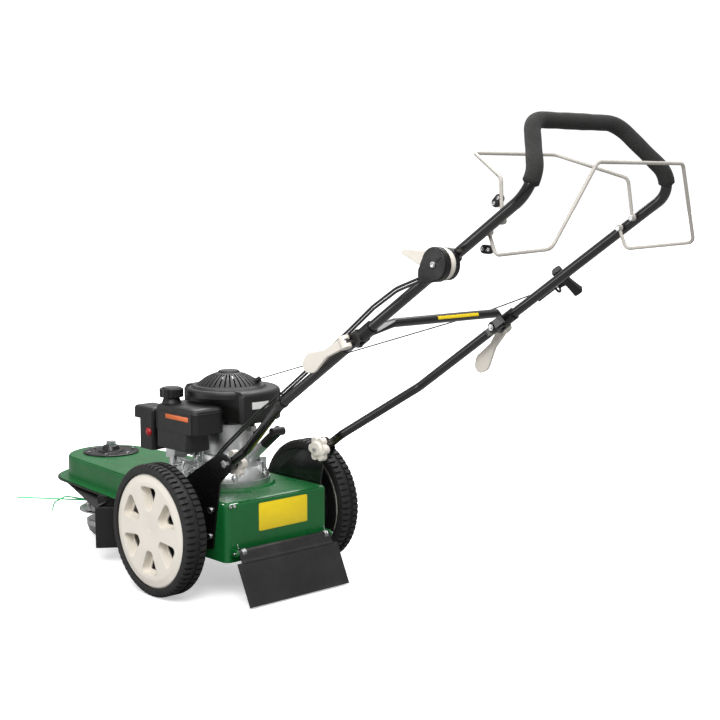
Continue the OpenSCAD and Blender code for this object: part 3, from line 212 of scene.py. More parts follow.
class Finish:
    """A material and the nodes that vary its colour, roughness and relief over the surface."""

    def __init__(self, name):
        self.mat = bpy.data.materials.new(name)
        self.mat.use_nodes = True
        self.tree = self.mat.node_tree
        self.skin = self.tree.nodes["Principled BSDF"]
        self.place = self.node("ShaderNodeTexCoord").outputs["Object"]
        self.relief = None

    def node(self, kind, **settings):
        made = self.tree.nodes.new(kind)
        for key, value in settings.items():
            setattr(made, key, value)
        return made

    def link(self, start, end):
        self.tree.links.new(start, end)

    def constant(self, **values):
        for key, value in values.items():
            self.skin.inputs[key.replace("_", " ")].default_value = value
        return self

    def noise(self, scale, detail=3.0, rough=0.55, stretch=None):
        made = self.node("ShaderNodeTexNoise")
        made.inputs["Scale"].default_value = scale
        made.inputs["Detail"].default_value = detail
        made.inputs["Roughness"].default_value = rough
        place = self.place
        if stretch:
            scaled = self.node("ShaderNodeMapping")
            scaled.inputs["Scale"].default_value = stretch
            self.link(place, scaled.inputs["Vector"])
            place = scaled.outputs["Vector"]
        self.link(place, made.inputs["Vector"])
        return made.outputs["Fac"]

    def cells(self, scale):
        made = self.node("ShaderNodeTexVoronoi")
        made.inputs["Scale"].default_value = scale
        self.link(self.place, made.inputs["Vector"])
        return made.outputs["Distance"]

    def spread(self, value, low, high, to_low=0.0, to_high=1.0):
        made = self.node("ShaderNodeMapRange")
        for key, number in (("From Min", low), ("From Max", high), ("To Min", to_low), ("To Max", to_high)):
            made.inputs[key].default_value = number
        self.link(value, made.inputs["Value"])
        return made.outputs["Result"]

    def times(self, a, b):
        made = self.node("ShaderNodeMath", operation="MULTIPLY")
        self.link(a, made.inputs[0])
        self.link(b, made.inputs[1])
        return made.outputs["Value"]

    def shades(self, value, *stops):
        """Colours along a value, from two stops of (position, colour)."""
        made = self.node("ShaderNodeValToRGB")
        for element, (position, colour) in zip(made.color_ramp.elements, stops):
            element.position, element.color = position, (*colour, 1)
        self.link(value, made.inputs["Fac"])
        return made.outputs["Color"]

    def over(self, base, top, mask):
        made = self.node("ShaderNodeMix", data_type="RGBA")
        self.link(mask, made.inputs["Factor"])
        for source, socket in ((base, made.inputs[6]), (top, made.inputs[7])):
            if isinstance(source, tuple):
                socket.default_value = (*source, 1)
            else:
                self.link(source, socket)
        return made.outputs[2]

    def colour(self, value):
        self.link(value, self.skin.inputs["Base Color"])
        return self

    def rough(self, value):
        self.link(value, self.skin.inputs["Roughness"])
        return self

    def bump(self, height, depth, strength=1.0):
        made = self.node("ShaderNodeBump")
        made.inputs["Distance"].default_value = depth
        made.inputs["Strength"].default_value = strength
        self.link(height, made.inputs["Height"])
        if self.relief is not None:
            self.link(self.relief, made.inputs["Normal"])
        self.relief = made.outputs["Normal"]
        self.link(self.relief, self.skin.inputs["Normal"])
        return self

    def soft_edges(self, radius):
        """Rounds the look of sharp edges, and returns a mask that is 1 along them."""
        round_normal = self.node("ShaderNodeBevel", samples=4)
        round_normal.inputs["Radius"].default_value = radius
        true_normal = self.node("ShaderNodeNewGeometry").outputs["Normal"]
        agree = self.node("ShaderNodeVectorMath", operation="DOT_PRODUCT")
        self.link(round_normal.outputs["Normal"], agree.inputs[0])
        self.link(true_normal, agree.inputs[1])
        self.relief = round_normal.outputs["Normal"]
        self.link(self.relief, self.skin.inputs["Normal"])
        return self.spread(agree.outputs["Value"], 0.97, 0.8)


def tinted(colour, factor):
    return tuple(min(1.0, c * factor) for c in colour)


def paint(name, colour, rough, coat=0.4, highlight_and_wear=0.35, edge=0.0012):
    """Powder coat: faint orange peel, a little tone, lighter patches painted as highlight along the edges;
    without an edge width they are plain wear.
    """
    f = Finish(name)
    tone = f.shades(f.noise(9, 4), (0.3, tinted(colour, 0.86)), (0.7, tinted(colour, 1.1)))
    # Lighter patches: with an edge width they are kept to the edges as a painted highlight; without one they
    # are plain wear.
    highlight_and_wear_patches = f.spread(f.noise(140, 5, 0.7), 0.52, 0.7, 0, highlight_and_wear)
    if edge:
        highlight_and_wear_patches = f.times(f.soft_edges(edge), highlight_and_wear_patches)
    f.colour(f.over(tone, tinted(colour, 2.2), highlight_and_wear_patches))
    f.rough(f.spread(f.noise(30, 5, 0.65), 0.3, 0.72, rough * 0.75, rough * 1.35))
    f.bump(f.noise(700, 2), 0.00005, 0.3)
    return f.constant(Coat_Weight=coat, Coat_Roughness=0.14, Specular_IOR_Level=0.4).mat


def plastic(name, colour, rough, grain=1500, depth=0.00025, tone=0.1, edge=0.001):
    """Moulded plastic: spark-eroded grain, faint flow tone, soft edges with a painted highlight along them in
    patches.
    """
    f = Finish(name)
    edges = f.soft_edges(edge)
    base = f.shades(f.noise(12, 4), (0.3, tinted(colour, 1 - tone)), (0.7, tinted(colour, 1 + tone)))
    # Painted highlight: the colour is lighter along sharp edges, in patches.
    highlight_patches = f.spread(f.noise(90, 5, 0.7), 0.45, 0.75, 0, 0.3)
    f.colour(f.over(base, tinted(colour, 1.7), f.times(edges, highlight_patches)))
    f.rough(f.spread(f.noise(45, 5, 0.6), 0.3, 0.7, rough * 0.82, rough * 1.2))
    f.bump(f.noise(grain, 3, 0.6), depth, 0.5)
    return f.mat


def metal(name, colour, rough, grain=900, depth=0.0002, stretch=None, tone=0.16):
    """Bare metal: a cast or drawn grain, and patches of duller skin."""
    f = Finish(name)
    f.soft_edges(0.0008)
    dull, bright = tinted(colour, 1 - tone), tinted(colour, 1 + tone)
    f.colour(f.shades(f.noise(26, 5, 0.6), (0.3, dull), (0.72, bright)))
    f.rough(f.spread(f.noise(70, 5, 0.7), 0.3, 0.75, rough * 0.7, rough * 1.4))
    f.bump(f.noise(grain, 4, 0.65, stretch), depth, 0.5)
    return f.constant(Metallic=1.0).mat


def rubber(name, colour, rough, dust, dust_share=0.35, dust_scale=8):
    """Rubber with a film of dust in patches."""
    f = Finish(name)
    f.soft_edges(0.001)
    base = f.shades(f.noise(20, 4), (0.3, tinted(colour, 0.8)), (0.7, tinted(colour, 1.2)))
    film = f.spread(f.noise(dust_scale, 6, 0.62), 0.45, 0.8, 0, dust_share)
    f.colour(f.over(base, dust, film))
    f.rough(f.spread(f.noise(60, 4), 0.3, 0.7, rough * 0.85, rough * 1.1))
    f.bump(f.noise(1100, 4, 0.6), 0.0003, 0.5)
    return f.mat


def foam(name):
    """Closed-cell foam: open pores, a dull skin."""
    f = Finish(name)
    pore, wall = (0.0108, 0.0104, 0.0102), (0.035, 0.034, 0.033)
    f.colour(f.shades(f.noise(420, 4, 0.7), (0.3, pore), (0.75, wall)))
    f.rough(f.spread(f.noise(200, 3), 0.3, 0.7, 0.8, 0.96))
    f.bump(f.cells(900), 0.0006, 0.6)
    f.bump(f.noise(2400, 3), 0.0003, 0.5)
    return f.constant(Sheen_Weight=0.05, Sheen_Roughness=0.6, Specular_IOR_Level=0.3).mat


def decal(name, colour):
    """Printed film: an even colour with faint mottling and a satin skin."""
    f = Finish(name)
    f.colour(f.shades(f.noise(60, 4), (0.3, tinted(colour, 0.97)), (0.7, tinted(colour, 1.03))))
    f.rough(f.spread(f.noise(240, 4), 0.3, 0.7, 0.26, 0.42))
    f.bump(f.noise(900, 2), 0.00008, 0.4)
    return f.mat


green_paint = paint("green_paint", (0.006, 0.128, 0.028), 0.3, coat=0.12, highlight_and_wear=0.2)
black_paint = paint("black_paint", (0.0045, 0.0043, 0.0042), 0.22, coat=0.2, highlight_and_wear=0.3)
tube_paint = paint("tube_paint", (0.0045, 0.0043, 0.0042), 0.2, coat=0.7, highlight_and_wear=0.3)
wire_paint = paint("wire_paint", (0.50, 0.47, 0.425), 0.4, coat=0.05, highlight_and_wear=0.05, edge=0)
cream_plastic = plastic("cream_plastic", (0.85, 0.798, 0.715), 0.42, tone=0.03, edge=0.003)
engine_plastic = plastic("engine_plastic", (0.0088, 0.0086, 0.0083), 0.42, grain=1100, depth=0.0004)
black_plastic = plastic("black_plastic", (0.0062, 0.0061, 0.006), 0.4)
red_rubber = plastic("red_rubber", (0.36, 0.008, 0.014), 0.32, grain=700)
tyre_rubber = rubber("tyre_rubber", (0.0112, 0.011, 0.0108), 0.66, (0.040, 0.038, 0.036))
flap_rubber = rubber("flap_rubber", (0.0095, 0.0092, 0.0095), 0.5, (0.038, 0.037, 0.038), 0.5, 11)
cast_alloy = metal("cast_alloy", (0.68, 0.685, 0.69), 0.42, grain=520, depth=0.0005)
dark_cast = metal("dark_cast", (0.05, 0.05, 0.052), 0.36, grain=520, depth=0.0004)
zinc_steel = metal("zinc_steel", (0.62, 0.62, 0.63), 0.28, stretch=(1, 1, 8))
foam_skin = foam("foam_skin")
green_line = plastic("green_line", (0.02, 0.72, 0.23), 0.3, grain=600)
rope_fibre = rubber("rope_fibre", (0.02, 0.02, 0.021), 0.8, (0.06, 0.06, 0.06), 0.5, 90)
cable_jacket = plastic("cable_jacket", (0.009, 0.009, 0.0092), 0.3, grain=900)
yellow_film = decal("yellow_film", (0.92, 0.68, 0.012))
orange_film = decal("orange_film", (0.72, 0.15, 0.03))
white_film = decal("white_film", (0.74, 0.74, 0.72))

finish_of = {
    "green_paint": green_paint, "black_paint": black_paint, "cream_plastic": cream_plastic,
    "engine_plastic": engine_plastic, "black_plastic": black_plastic, "tyre_rubber": tyre_rubber,
    "flap_rubber": flap_rubber, "cast_alloy": cast_alloy, "steel": zinc_steel, "foam": foam_skin,
    "bail_coating": wire_paint, "red_rubber": red_rubber, "green_line": green_line, "rope": rope_fibre,
    "cable_jacket": cable_jacket, "cast_iron": dark_cast,
}
own_finish = {
    "spindle_cover": dark_cast, "muffler": dark_cast, "belly_plate": black_paint, "gearbox": dark_cast,
    "rope_guide": black_plastic, "glide_cup": zinc_steel, "upper_handle": tube_paint,
    "cross_brace": tube_paint, "left_lower_tube": tube_paint, "right_lower_tube": tube_paint,
}
slot_of = {part["node"]: part["material_slot"] for part in frame["record"]["subparts"]}
for name, obj in node_of.items():
    obj.data.materials.clear()
    obj.data.materials.append(own_finish.get(name) or finish_of[slot_of[name]])


# Paths and surfaces

def bent(points, radius, steps=8):
    """Path through the points, with round bends of the radius."""
    points = [Vector(p) for p in points]
    path = [points[0]]
    for before, at, after in zip(points, points[1:], points[2:]):
        back, on = (before - at).normalized(), (after - at).normalized()
        half = back.angle(on) / 2
        centre = at + (back + on).normalized() * radius / math.sin(half)
        arm = at + back * radius / math.tan(half) - centre
        axis = arm.cross(at + on * radius / math.tan(half) - centre)
        for k in range(steps + 1):
            path.append(centre + Quaternion(axis, (math.pi - 2 * half) * k / steps) @ arm)
    return path + [points[-1]]


def run_of(path):
    """Length along a path at each of its points."""
    run = [0.0]
    for a, b in zip(path, path[1:]):
        run.append(run[-1] + (b - a).length)
    return run


def even(path, step):
    """The path again, with its points an even step apart."""
    run = run_of(path)
    count = max(2, round(run[-1] / step))
    out, i = [], 0
    for k in range(count + 1):
        gone = run[-1] * k / count
        while i < len(path) - 2 and run[i + 1] < gone:
            i += 1
        out.append(path[i].lerp(path[i + 1], (gone - run[i]) / max(1e-9, run[i + 1] - run[i])))
    return out


def frames(path):
    """Each point of a path, two directions across it, and its length from the start."""
    last = len(path) - 1
    ahead = [(path[min(i + 1, last)] - path[max(i - 1, 0)]).normalized() for i in range(len(path))]
    across = ahead[0].orthogonal().normalized()
    for point, along, gone in zip(path, ahead, run_of(path)):
        across = (across - across.dot(along) * along).normalized()
        yield point, across, along.cross(across), gone


def soft_rectangle(width, height, corner, steps=5):
    """Outline of a rectangle with round corners, about its middle."""
    outline = []
    for quarter, (sx, sy) in enumerate(((1, 1), (-1, 1), (-1, -1), (1, -1))):
        for k in range(steps + 1):
            a = math.radians(90 * (quarter + k / steps))
            outline.append((sx * (width / 2 - corner) + corner * math.cos(a),
                            sy * (height / 2 - corner) + corner * math.sin(a)))
    return outline


def ripple(waves, place):
    """Height at a place of summed sine waves of (height, pace, start)."""
    return sum(high * math.sin(place * pace + start) for high, pace, start in waves)


COIL_STEPS = 14


class Form:
    """Surfaces of one piece, gathered in the frame of the part."""

    def __init__(self):
        self.bm = bmesh.new()

    def loft(self, rings, caps=True):
        rows = [[self.bm.verts.new(p) for p in ring] for ring in rings]
        for low, high in zip(rows, rows[1:]):
            for i in range(len(low)):
                j = (i + 1) % len(low)
                self.bm.faces.new((low[i], low[j], high[j], high[i]))
        if caps:
            self.bm.faces.new(rows[0][::-1])
            self.bm.faces.new(rows[-1])
        return self

    def tube(self, path, radius, sides=12):
        """Round tube along a path; radius is a number, or a function of the length from the start."""
        rings = []
        for at, across, over, gone in frames(path):
            r = radius(gone) if callable(radius) else radius
            turns = [2 * math.pi * i / sides for i in range(sides)]
            rings.append([at + r * (math.cos(a) * across + math.sin(a) * over) for a in turns])
        return self.loft(rings)

    def turned(self, profile, at, axis, sides=32):
        """Profile of (radius, height) pairs turned about an axis through a point."""
        axis = Vector(axis).normalized()
        side = axis.orthogonal().normalized()
        over = axis.cross(side)
        turns = [2 * math.pi * i / sides for i in range(sides)]
        around = [math.cos(a) * side + math.sin(a) * over for a in turns]
        return self.loft([[Vector(at) + axis * h + r * out for out in around] for r, h in profile])

    def plate(self, outline, at, across, over, thick, edge):
        """Plate that stands on a plane by its thickness, with its upper edge rounded."""
        across, over = Vector(across).normalized(), Vector(over).normalized()
        normal = across.cross(over)
        reach = max(max(abs(u), abs(v)) for u, v in outline)
        levels = [(0, 0), (thick - edge, 0), (thick - 0.3 * edge, 0.3 * edge), (thick, edge)]
        return self.loft([[Vector(at) + normal * h + (across * u + over * v) * (1 - inset / reach)
                           for u, v in outline] for h, inset in levels])

    def bolt(self, at, axis, across_flats, high):
        """Hexagon head on a washer."""
        r = across_flats / math.sqrt(3)
        self.turned([(r * 1.25, 0), (r * 1.3, 0.2 * high), (r * 1.2, 0.28 * high)], at, axis, 24)
        return self.turned([(r, 0.25 * high), (r, 0.85 * high), (r * 0.85, high)], at, axis, 6)

    def screw(self, at, axis, r, high):
        """Pan head with a sunk middle."""
        head = [(r, 0), (r, 0.45 * high), (r * 0.85, 0.85 * high), (r * 0.55, high)]
        recess = [(r * 0.5, 0.98 * high), (r * 0.34, 0.6 * high), (r * 0.1, 0.55 * high)]
        return self.turned(head + recess, at, axis, 24)

    def coil(self, start, end, radius, wire, turns, legs=0.0):
        """Spring between two points, with straight legs at its ends."""
        start, end = Vector(start), Vector(end)
        axis = (end - start).normalized()
        side = axis.orthogonal().normalized()
        over = axis.cross(side)
        count = turns * COIL_STEPS
        path = []
        for k in range(count + 1):
            a = 2 * math.pi * turns * k / count
            path.append(start.lerp(end, k / count) + radius * (math.cos(a) * side + math.sin(a) * over))
        if legs:
            path = [path[0] - axis * legs] + path + [path[-1] + axis * legs]
        return self.tube(path, wire / 2, 8)

    def piece(self, name, material, body=None, slot=None, crease=40, replaces=()):
        bmesh.ops.recalc_face_normals(self.bm, faces=self.bm.faces)
        mesh = bpy.data.meshes.new(name)
        self.bm.to_mesh(mesh)
        self.bm.free()
        mesh.shade_smooth()
        mesh.set_sharp_from_angle(angle=math.radians(crease))
        mesh.materials.append(material)
        made = bpy.data.objects.new(name, mesh)
        bpy.context.scene.collection.objects.link(made)
        if body:
            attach(made, body)
        if replaces:
            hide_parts(*replaces)
        return made


# Rope and cables

ROPE_D = 0.003
CABLE_D = 0.005
ROPE_OUT = Vector((-0.582, -0.046, 0.477))
ROPE_SPLIT = Vector((-1.16528, -0.172, 0.661966))
OVER_TUBE = Vector((-1.25881, -0.221, 0.703699))
ROPE_END = Vector((-1.30516, -0.233673, 0.714082))
GRIP_AT = Vector((-1.32146, -0.237832, 0.724908))
PULL = Vector((-0.81472, -0.207912, 0.541299))
GRIP_ACROSS = Vector((0.220518, 0.752273, 0.620852))
CORD_GAP = 0.0005
ROPE_BENDS_BEFORE = 0.095
ROPE_ROUND = 0.03
ROPE_IN_GRIP = 0.009
ROPE_STEP = 0.0011


def laid_rope(path, diameter, lay=0.0066, strands=3):
    """Twisted strands round a core, along a path."""
    form = Form()
    strand = diameter * 0.26
    points = list(frames(even([Vector(p) for p in path], ROPE_STEP)))
    for k in range(strands):
        winding = []
        for at, across, over, gone in points:
            turn = 2 * math.pi * k / strands + 2 * math.pi * gone / lay
            winding.append(at + strand * (math.cos(turn) * across + math.sin(turn) * over))
        form.tube(winding, strand, 6)
    return form.tube([point[0] for point in points], diameter * 0.43, 8)


def shortened(start, end, gap_start, gap_end):
    """Ends of a straight stretch that stops short of two points."""
    along = (end - start).normalized()
    return start + along * gap_start, end - along * gap_end


along_low = (ROPE_SPLIT - ROPE_OUT).normalized()
ROPE_BEND = ROPE_SPLIT - along_low * ROPE_BENDS_BEFORE
low = shortened(ROPE_OUT, ROPE_BEND, 2 * CORD_GAP, CORD_GAP)
rope = laid_rope(low, ROPE_D).piece("starter_rope_low", rope_fibre, slot="rope", replaces=["rope_low"])
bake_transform(rope)
mid = bent([ROPE_BEND + along_low * CORD_GAP, ROPE_SPLIT, OVER_TUBE, ROPE_END], ROPE_ROUND)
rope = laid_rope(mid, ROPE_D).piece("starter_rope_middle", rope_fibre, slot="rope", replaces=["rope_mid"])
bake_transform(rope)
rope = laid_rope([ROPE_END, GRIP_AT + PULL * ROPE_IN_GRIP], ROPE_D)
rope = rope.piece("starter_rope_end", rope_fibre, slot="rope", replaces=["rope_tail"])
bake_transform(rope)

# Along the left tube the cables lie at this side and height, in the handle's millimetres
CABLE_Y, CABLE_N = TUBE_Y / MM, 12.9
COVER_SIDE = 240
CABLE_LOW = [on_handle(TIE_S - 2, CABLE_Y, CABLE_N), Vector((-0.850, 0.176, 0.446)),
             Vector((-0.700, 0.150, 0.350)), Vector((-0.610, 0.124, 0.294)), Vector((-0.566, 0.118, 0.276))]
CABLE_HIGH = [on_handle(TIE_S + 2, CABLE_Y, CABLE_N), on_handle(TIE_S + 80, CABLE_Y, CABLE_N + 2),
              on_handle(FOLD_S, CABLE_Y, 21), on_handle(FOLD_S + 100, CABLE_Y + 20, CABLE_N + 3),
              on_handle(THROTTLE_S - 110, COVER_SIDE, 4),
              on_handle(THROTTLE_S - 47, COVER_SIDE, THROTTLE_N - 5)]
CABLE_STEP = OUT * 0.006
LOW_ROUND, HIGH_ROUND = 0.024, 0.08


def cable_pair(points, bend):
    """Two jacketed cables side by side."""
    form = Form()
    for shift in (Vector(), CABLE_STEP):
        form.tube(even(bent([point + shift for point in points], bend), 0.006), CABLE_D / 2)
    return form


cable = cable_pair(CABLE_LOW, LOW_ROUND)
cable = cable.piece("cables_low", cable_jacket, slot="cable_jacket", replaces=["cable_low"])
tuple(CABLE_LOW[3])
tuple(CABLE_LOW[1])
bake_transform(cable)
cable = cable_pair(CABLE_HIGH, HIGH_ROUND)
cable = cable.piece("cables_high", cable_jacket, slot="cable_jacket", replaces=["cable_high"])
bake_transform(cable)


# Foam grip

GRIP_PATH = [(-1.20575, TUBE_Y, 0.648035), (-1.62888, TUBE_Y, 0.929158), (-1.54585, 0.120, 1.04328)]
GRIP_BEND = 0.052
FOAM_R = 0.0148
FOAM_BORE = TUBE_R + 0.0006
FOAM_END = 0.003
FOAM_WAVES = ((0.00025, 52, 0), (0.0002, 131, 1.3))
BEND_STEPS = 12


def foam_grip():
    """Sleeve round the grip of the upper handle, with round ends and a slightly uneven skin."""
    other = [(x, -y, z) for x, y, z in reversed(GRIP_PATH)]
    whole = bent(GRIP_PATH + other, GRIP_BEND, BEND_STEPS)
    half_bend = 1 + BEND_STEPS // 2
    path = even(whole[half_bend:-half_bend], 0.004)
    length = run_of(path)[-1]

    def radius(gone):
        end = min(gone, length - gone)
        rounded = math.sqrt(max(0.0, 1 - max(0.0, 1 - end / FOAM_END) ** 2))
        return FOAM_BORE + (FOAM_R - FOAM_BORE + ripple(FOAM_WAVES, gone)) * rounded

    grip = Form().tube(path, radius, 28)
    grip = grip.piece("foam_sleeve", foam_skin, "upper_frame", "foam", 60, ["foam_grip"])


foam_grip()


# Rubber flap

FLAP_HALF = 0.148
BARREL_HALF = 0.1350
BARREL_R = 0.0079
SHEET_T = 0.0038
FLAP_LONG = 0.1252
NECK = 0.024
BARREL_EDGE = 0.001
SHEET_EDGE = 0.0008
SHEET_FACE = -0.004
FLAP_WAVES = ((0.0011, 34, 0.7), (0.0006, 81, 0))
FOLD_REACH = 0.003


def rear_flap():
    """Rolled hinge barrel, a narrow neck, and a wide sheet that has taken a slight wave."""
    tilt = Matrix.Translation(FLAP_AT) @ Matrix.Rotation(FLAP_TILT, 4, "Y")
    form = Form()
    form.turned([(BARREL_R - BARREL_EDGE, -BARREL_HALF), (BARREL_R, -BARREL_HALF + BARREL_EDGE),
                 (BARREL_R, BARREL_HALF - BARREL_EDGE), (BARREL_R - BARREL_EDGE, BARREL_HALF)],
                (0, 0, 0), LEFT)

    def strip(half, top, bottom, thick_at, thick):
        """Sheet from top to bottom, which thickens near one height."""
        rows, columns = 17, 33
        rings = []
        for i in range(columns):
            y = half * (2 * i / (columns - 1) - 1)
            front, back = [], []
            for k in range(rows):
                z = top + (bottom - top) * k / (rows - 1)
                wave = (z / FLAP_LONG) ** 2 * ripple(FLAP_WAVES, y)
                edge = SHEET_EDGE if k in (0, rows - 1) or i in (0, columns - 1) else 0
                proud = thick * math.exp(-((z - thick_at) / FOLD_REACH) ** 2)
                front.append((SHEET_FACE + wave - edge, y, z))
                back.append((SHEET_FACE - SHEET_T - proud + wave + edge, y, z))
            rings.append([Vector(p) for p in front + back[::-1]])
        form.loft(rings)

    strip(BARREL_HALF, -BARREL_EDGE, -NECK - 0.004, -NECK, 0.0012)
    strip(FLAP_HALF, -NECK, -FLAP_LONG, -FLAP_LONG, 0.0013)
    form.bm.transform(tilt)
    form.piece("rubber_flap", flap_rubber, "flap", "flap_rubber", 50, ["rear_flap"])


rear_flap()


# Starter handle

BAR_HALF, BAR_OUT = 0.0368, 0.022
BAR_DEEP, BAR_DEEP_FLARE = 0.0082, 0.0026
BAR_WIDE, BAR_WIDE_FLARE = 0.0078, 0.0030
RIB_HIGH, RIB_PACE, RIBS_END = 0.0003, 40, 0.75
ROUND_START, ROUND_SPAN, END_SHARE = 0.94, 0.062, 0.86
STEM = [(0.0042, 0.0002), (0.0050, 0.0012), (0.0052, 0.006), (0.0062, 0.012), (0.0064, 0.018),
        (0.0058, BAR_OUT)]


def boxy(value):
    """Sine or cosine pushed outward, which turns a circle into a square with round corners."""
    return math.copysign(abs(value) ** 0.5, value)


def starter_handle():
    """T handle: a bar that flares to its ends, with finger ribs, on a tapered stem."""
    middle = GRIP_AT + PULL * BAR_OUT
    normal = PULL.cross(GRIP_ACROSS)
    steps, sides = 40, 28
    rings = []
    for k in range(steps + 1):
        t = 2 * k / steps - 1
        rib = RIB_HIGH * math.cos(t * RIB_PACE) if abs(t) < RIBS_END else 0
        deep = BAR_DEEP + BAR_DEEP_FLARE * t * t + rib
        wide = BAR_WIDE + BAR_WIDE_FLARE * t * t + rib
        close = math.sqrt(max(0.0, 1 - max(0.0, (abs(t) - ROUND_START) / ROUND_SPAN) ** 2))
        share = END_SHARE + (1 - END_SHARE) * close
        ring = []
        for i in range(sides):
            a = 2 * math.pi * i / sides
            across = PULL * deep * boxy(math.cos(a)) + normal * wide * boxy(math.sin(a))
            ring.append(middle + GRIP_ACROSS * BAR_HALF * t + across * share)
        rings.append(ring)
    form = Form().loft(rings)
    form.turned(STEM, GRIP_AT, PULL, 24)
    form.piece("starter_t_handle", black_plastic, "starter", "black_plastic", 45, ["starter_grip"])


starter_handle()


# Films and labels, all plain

FILM_T, FILM_EDGE = 0.0004, 0.0001
# A wrapped film stands proud of its tube and sinks a little into it
FILM_PROUD, FILM_SUNK = 0.0003, 0.0002
BRACE_R = 0.009


def flat_film(name, material, at, across, over, size, corner):
    form = Form().plate(soft_rectangle(*size, corner), at, across, over, FILM_T, FILM_EDGE)
    form.piece(name, material, "chassis", crease=30)


flat_film("rear_panel_film", yellow_film, (TAIL_X, -0.0147, 0.1800), (0, -1, 0), (0, 0, 1),
          (0.1445, 0.0645), 0.004)
flat_film("tank_film", orange_film, (-0.5285, 0.158, 0.3992), (-1, 0, 0), (0, 0, 1), (0.0890, 0.0105), 0.0012)


def wrapped_film(name, material, body, axis_at, axis, start, radius, span, width):
    """Film round part of a tube: span is its two angles from the start, width its two ends along the axis."""
    axis, start = Vector(axis), Vector(start)
    turn = axis.cross(start)
    low, high = radius - FILM_SUNK, radius + FILM_PROUD
    section = ((width[0], low), (width[0], high), (width[1], high), (width[1], low))
    steps = 16
    rings = []
    for k in range(steps + 1):
        a = math.radians(span[0] + (span[1] - span[0]) * k / steps)
        out = math.cos(a) * start + math.sin(a) * turn
        rings.append([Vector(axis_at) + axis * end + out * r for end, r in section])
    Form().loft(rings).piece(name, material, body, crease=30)


wrapped_film("brace_film", yellow_film, "upper_frame", on_handle(BRACE_S, 0, 3), (0, 1, 0), (-1, 0, 0),
             BRACE_R, (-4, 38), (-0.084, 0.033))
wrapped_film("shroud_label", white_film, "chassis", (ENGINE_X, 0, 0.4252), (0, 0, 1), (-1, 0, 0),
             SHROUD_R, (-11.5, 11), (-0.0082, 0.0082))


# Small fittings

THROTTLE_AT = on_handle(THROTTLE_S, 0, THROTTLE_N)
COVER_Y, COVER_R = 0.2458, 0.0295
CLIP_SIZE, CLIP_CORNER, CLIP_T = (0.016, 0.026), 0.0078, 0.008
CLIP_SCREW_FROM_MIDDLE = 0.0068
SPRING_Y, SPRING_R, SPRING_WIRE, SPRING_PITCH, SPRING_TURNS = 0.1165, 0.0096, 0.0017, 0.0024, 5
BRACKET_Y = 0.154
BOLT_FLATS, BOLT_HIGH = 0.008, 0.005
BRACKET_BOLTS = ((-0.700, 0.3186), (-0.6543, 0.205), (-0.6492, 0.1437))
TAIL_SCREWS_Y, TAIL_SCREWS_Z = (0.1395, 0.128), 0.2165
LINKAGE_Y, LINK_R, LINK_BEND = 0.119, 0.0014, 0.006
ARM_T, ARM_EDGE = 0.0022, 0.0005

form = Form().screw(THROTTLE_AT + LEFT * (COVER_Y + 0.002), LEFT, 0.0062, 0.0042)
form.piece("throttle_screw", zinc_steel, "upper_frame", "steel")


def throttle_cap():
    """Domed face of the throttle's cover, round at the back and drawn out to the cables, with one rib."""
    turns = [math.radians(a) for a in range(0, 181, 10)]
    outline = [(COVER_R * math.cos(a), -COVER_R * math.sin(a)) for a in turns]
    outline += [(-0.022, 0.024), (-0.0155, 0.0405), (-0.010, 0.0435), (0.002, 0.0445), (0.010, 0.040),
                (0.022, 0.022)]
    cap = Form().plate(outline, THROTTLE_AT + LEFT * (COVER_Y - 0.0005), OUT, -UP, 0.0032, 0.0026)
    face = THROTTLE_AT + LEFT * (COVER_Y + 0.0024)
    cap.tube(even([face + UP * 0.008, face + UP * 0.025], 0.003), 0.0011, 10)
    cap.piece("throttle_cap", black_plastic, "upper_frame", "black_plastic", 30)


throttle_cap()


def oval_clip(name, body, at, along):
    """Oval clamp plate on a bail's leg, held by two screws."""
    along = Vector(along).normalized()
    over = along.cross(LEFT)
    outline = soft_rectangle(*CLIP_SIZE, CLIP_CORNER, 8)
    plate = Form().plate(outline, Vector(at) - LEFT * CLIP_T / 2, over, along, CLIP_T, 0.0015)
    plate.piece(name, black_plastic, body, "black_plastic")
    screws = Form()
    for side in (-1, 1):
        place = Vector(at) + along * CLIP_SCREW_FROM_MIDDLE * side
        screws.screw(place + LEFT * (CLIP_T / 2 - 0.0002), LEFT, 0.0036, 0.0026)
    screws.piece(name + "_screws", zinc_steel, body, "steel")


oval_clip("stop_bail_clip", "stop_bail", (-1.524, 0.180, 0.904), (0.72, 0, -0.69))
oval_clip("drive_bail_clip", "go_bail", (-1.500, 0.180, 0.8195), (1, 0, 0.05))


def flap_springs():
    """Torsion springs round the ends of the flap's barrel, each with a short leg."""
    steps = 16
    for side, name in ((1, "left_flap_spring"), (-1, "right_flap_spring")):
        at = FLAP_AT + LEFT * SPRING_Y * side
        path = []
        for k in range(SPRING_TURNS * steps + 1):
            a = 2 * math.pi * k / steps + math.radians(60)
            path.append(at + LEFT * side * SPRING_PITCH * k / steps
                        + Vector((SPRING_R * math.cos(a), 0, SPRING_R * math.sin(a))))
        leg = path[-1] + Vector((0.0040, 0, 0.010))
        spring = Form().tube(even(path, 0.0022) + [leg], SPRING_WIRE / 2, 8)
        spring.piece(name, zinc_steel, "chassis", "steel")


flap_springs()

bolts = Form()
for x, z in BRACKET_BOLTS:
    for side in (1, -1):
        bolts.bolt((x, side * BRACKET_Y, z), LEFT * side, BOLT_FLATS, BOLT_HIGH)
bolts.piece("bracket_bolts", zinc_steel, "chassis", "steel")
screws = Form()
for y in TAIL_SCREWS_Y:
    screws.screw((TAIL_X, y, TAIL_SCREWS_Z), (-1, 0, 0), 0.0042, 0.003)
screws.piece("tail_screws", zinc_steel, "chassis", "steel")


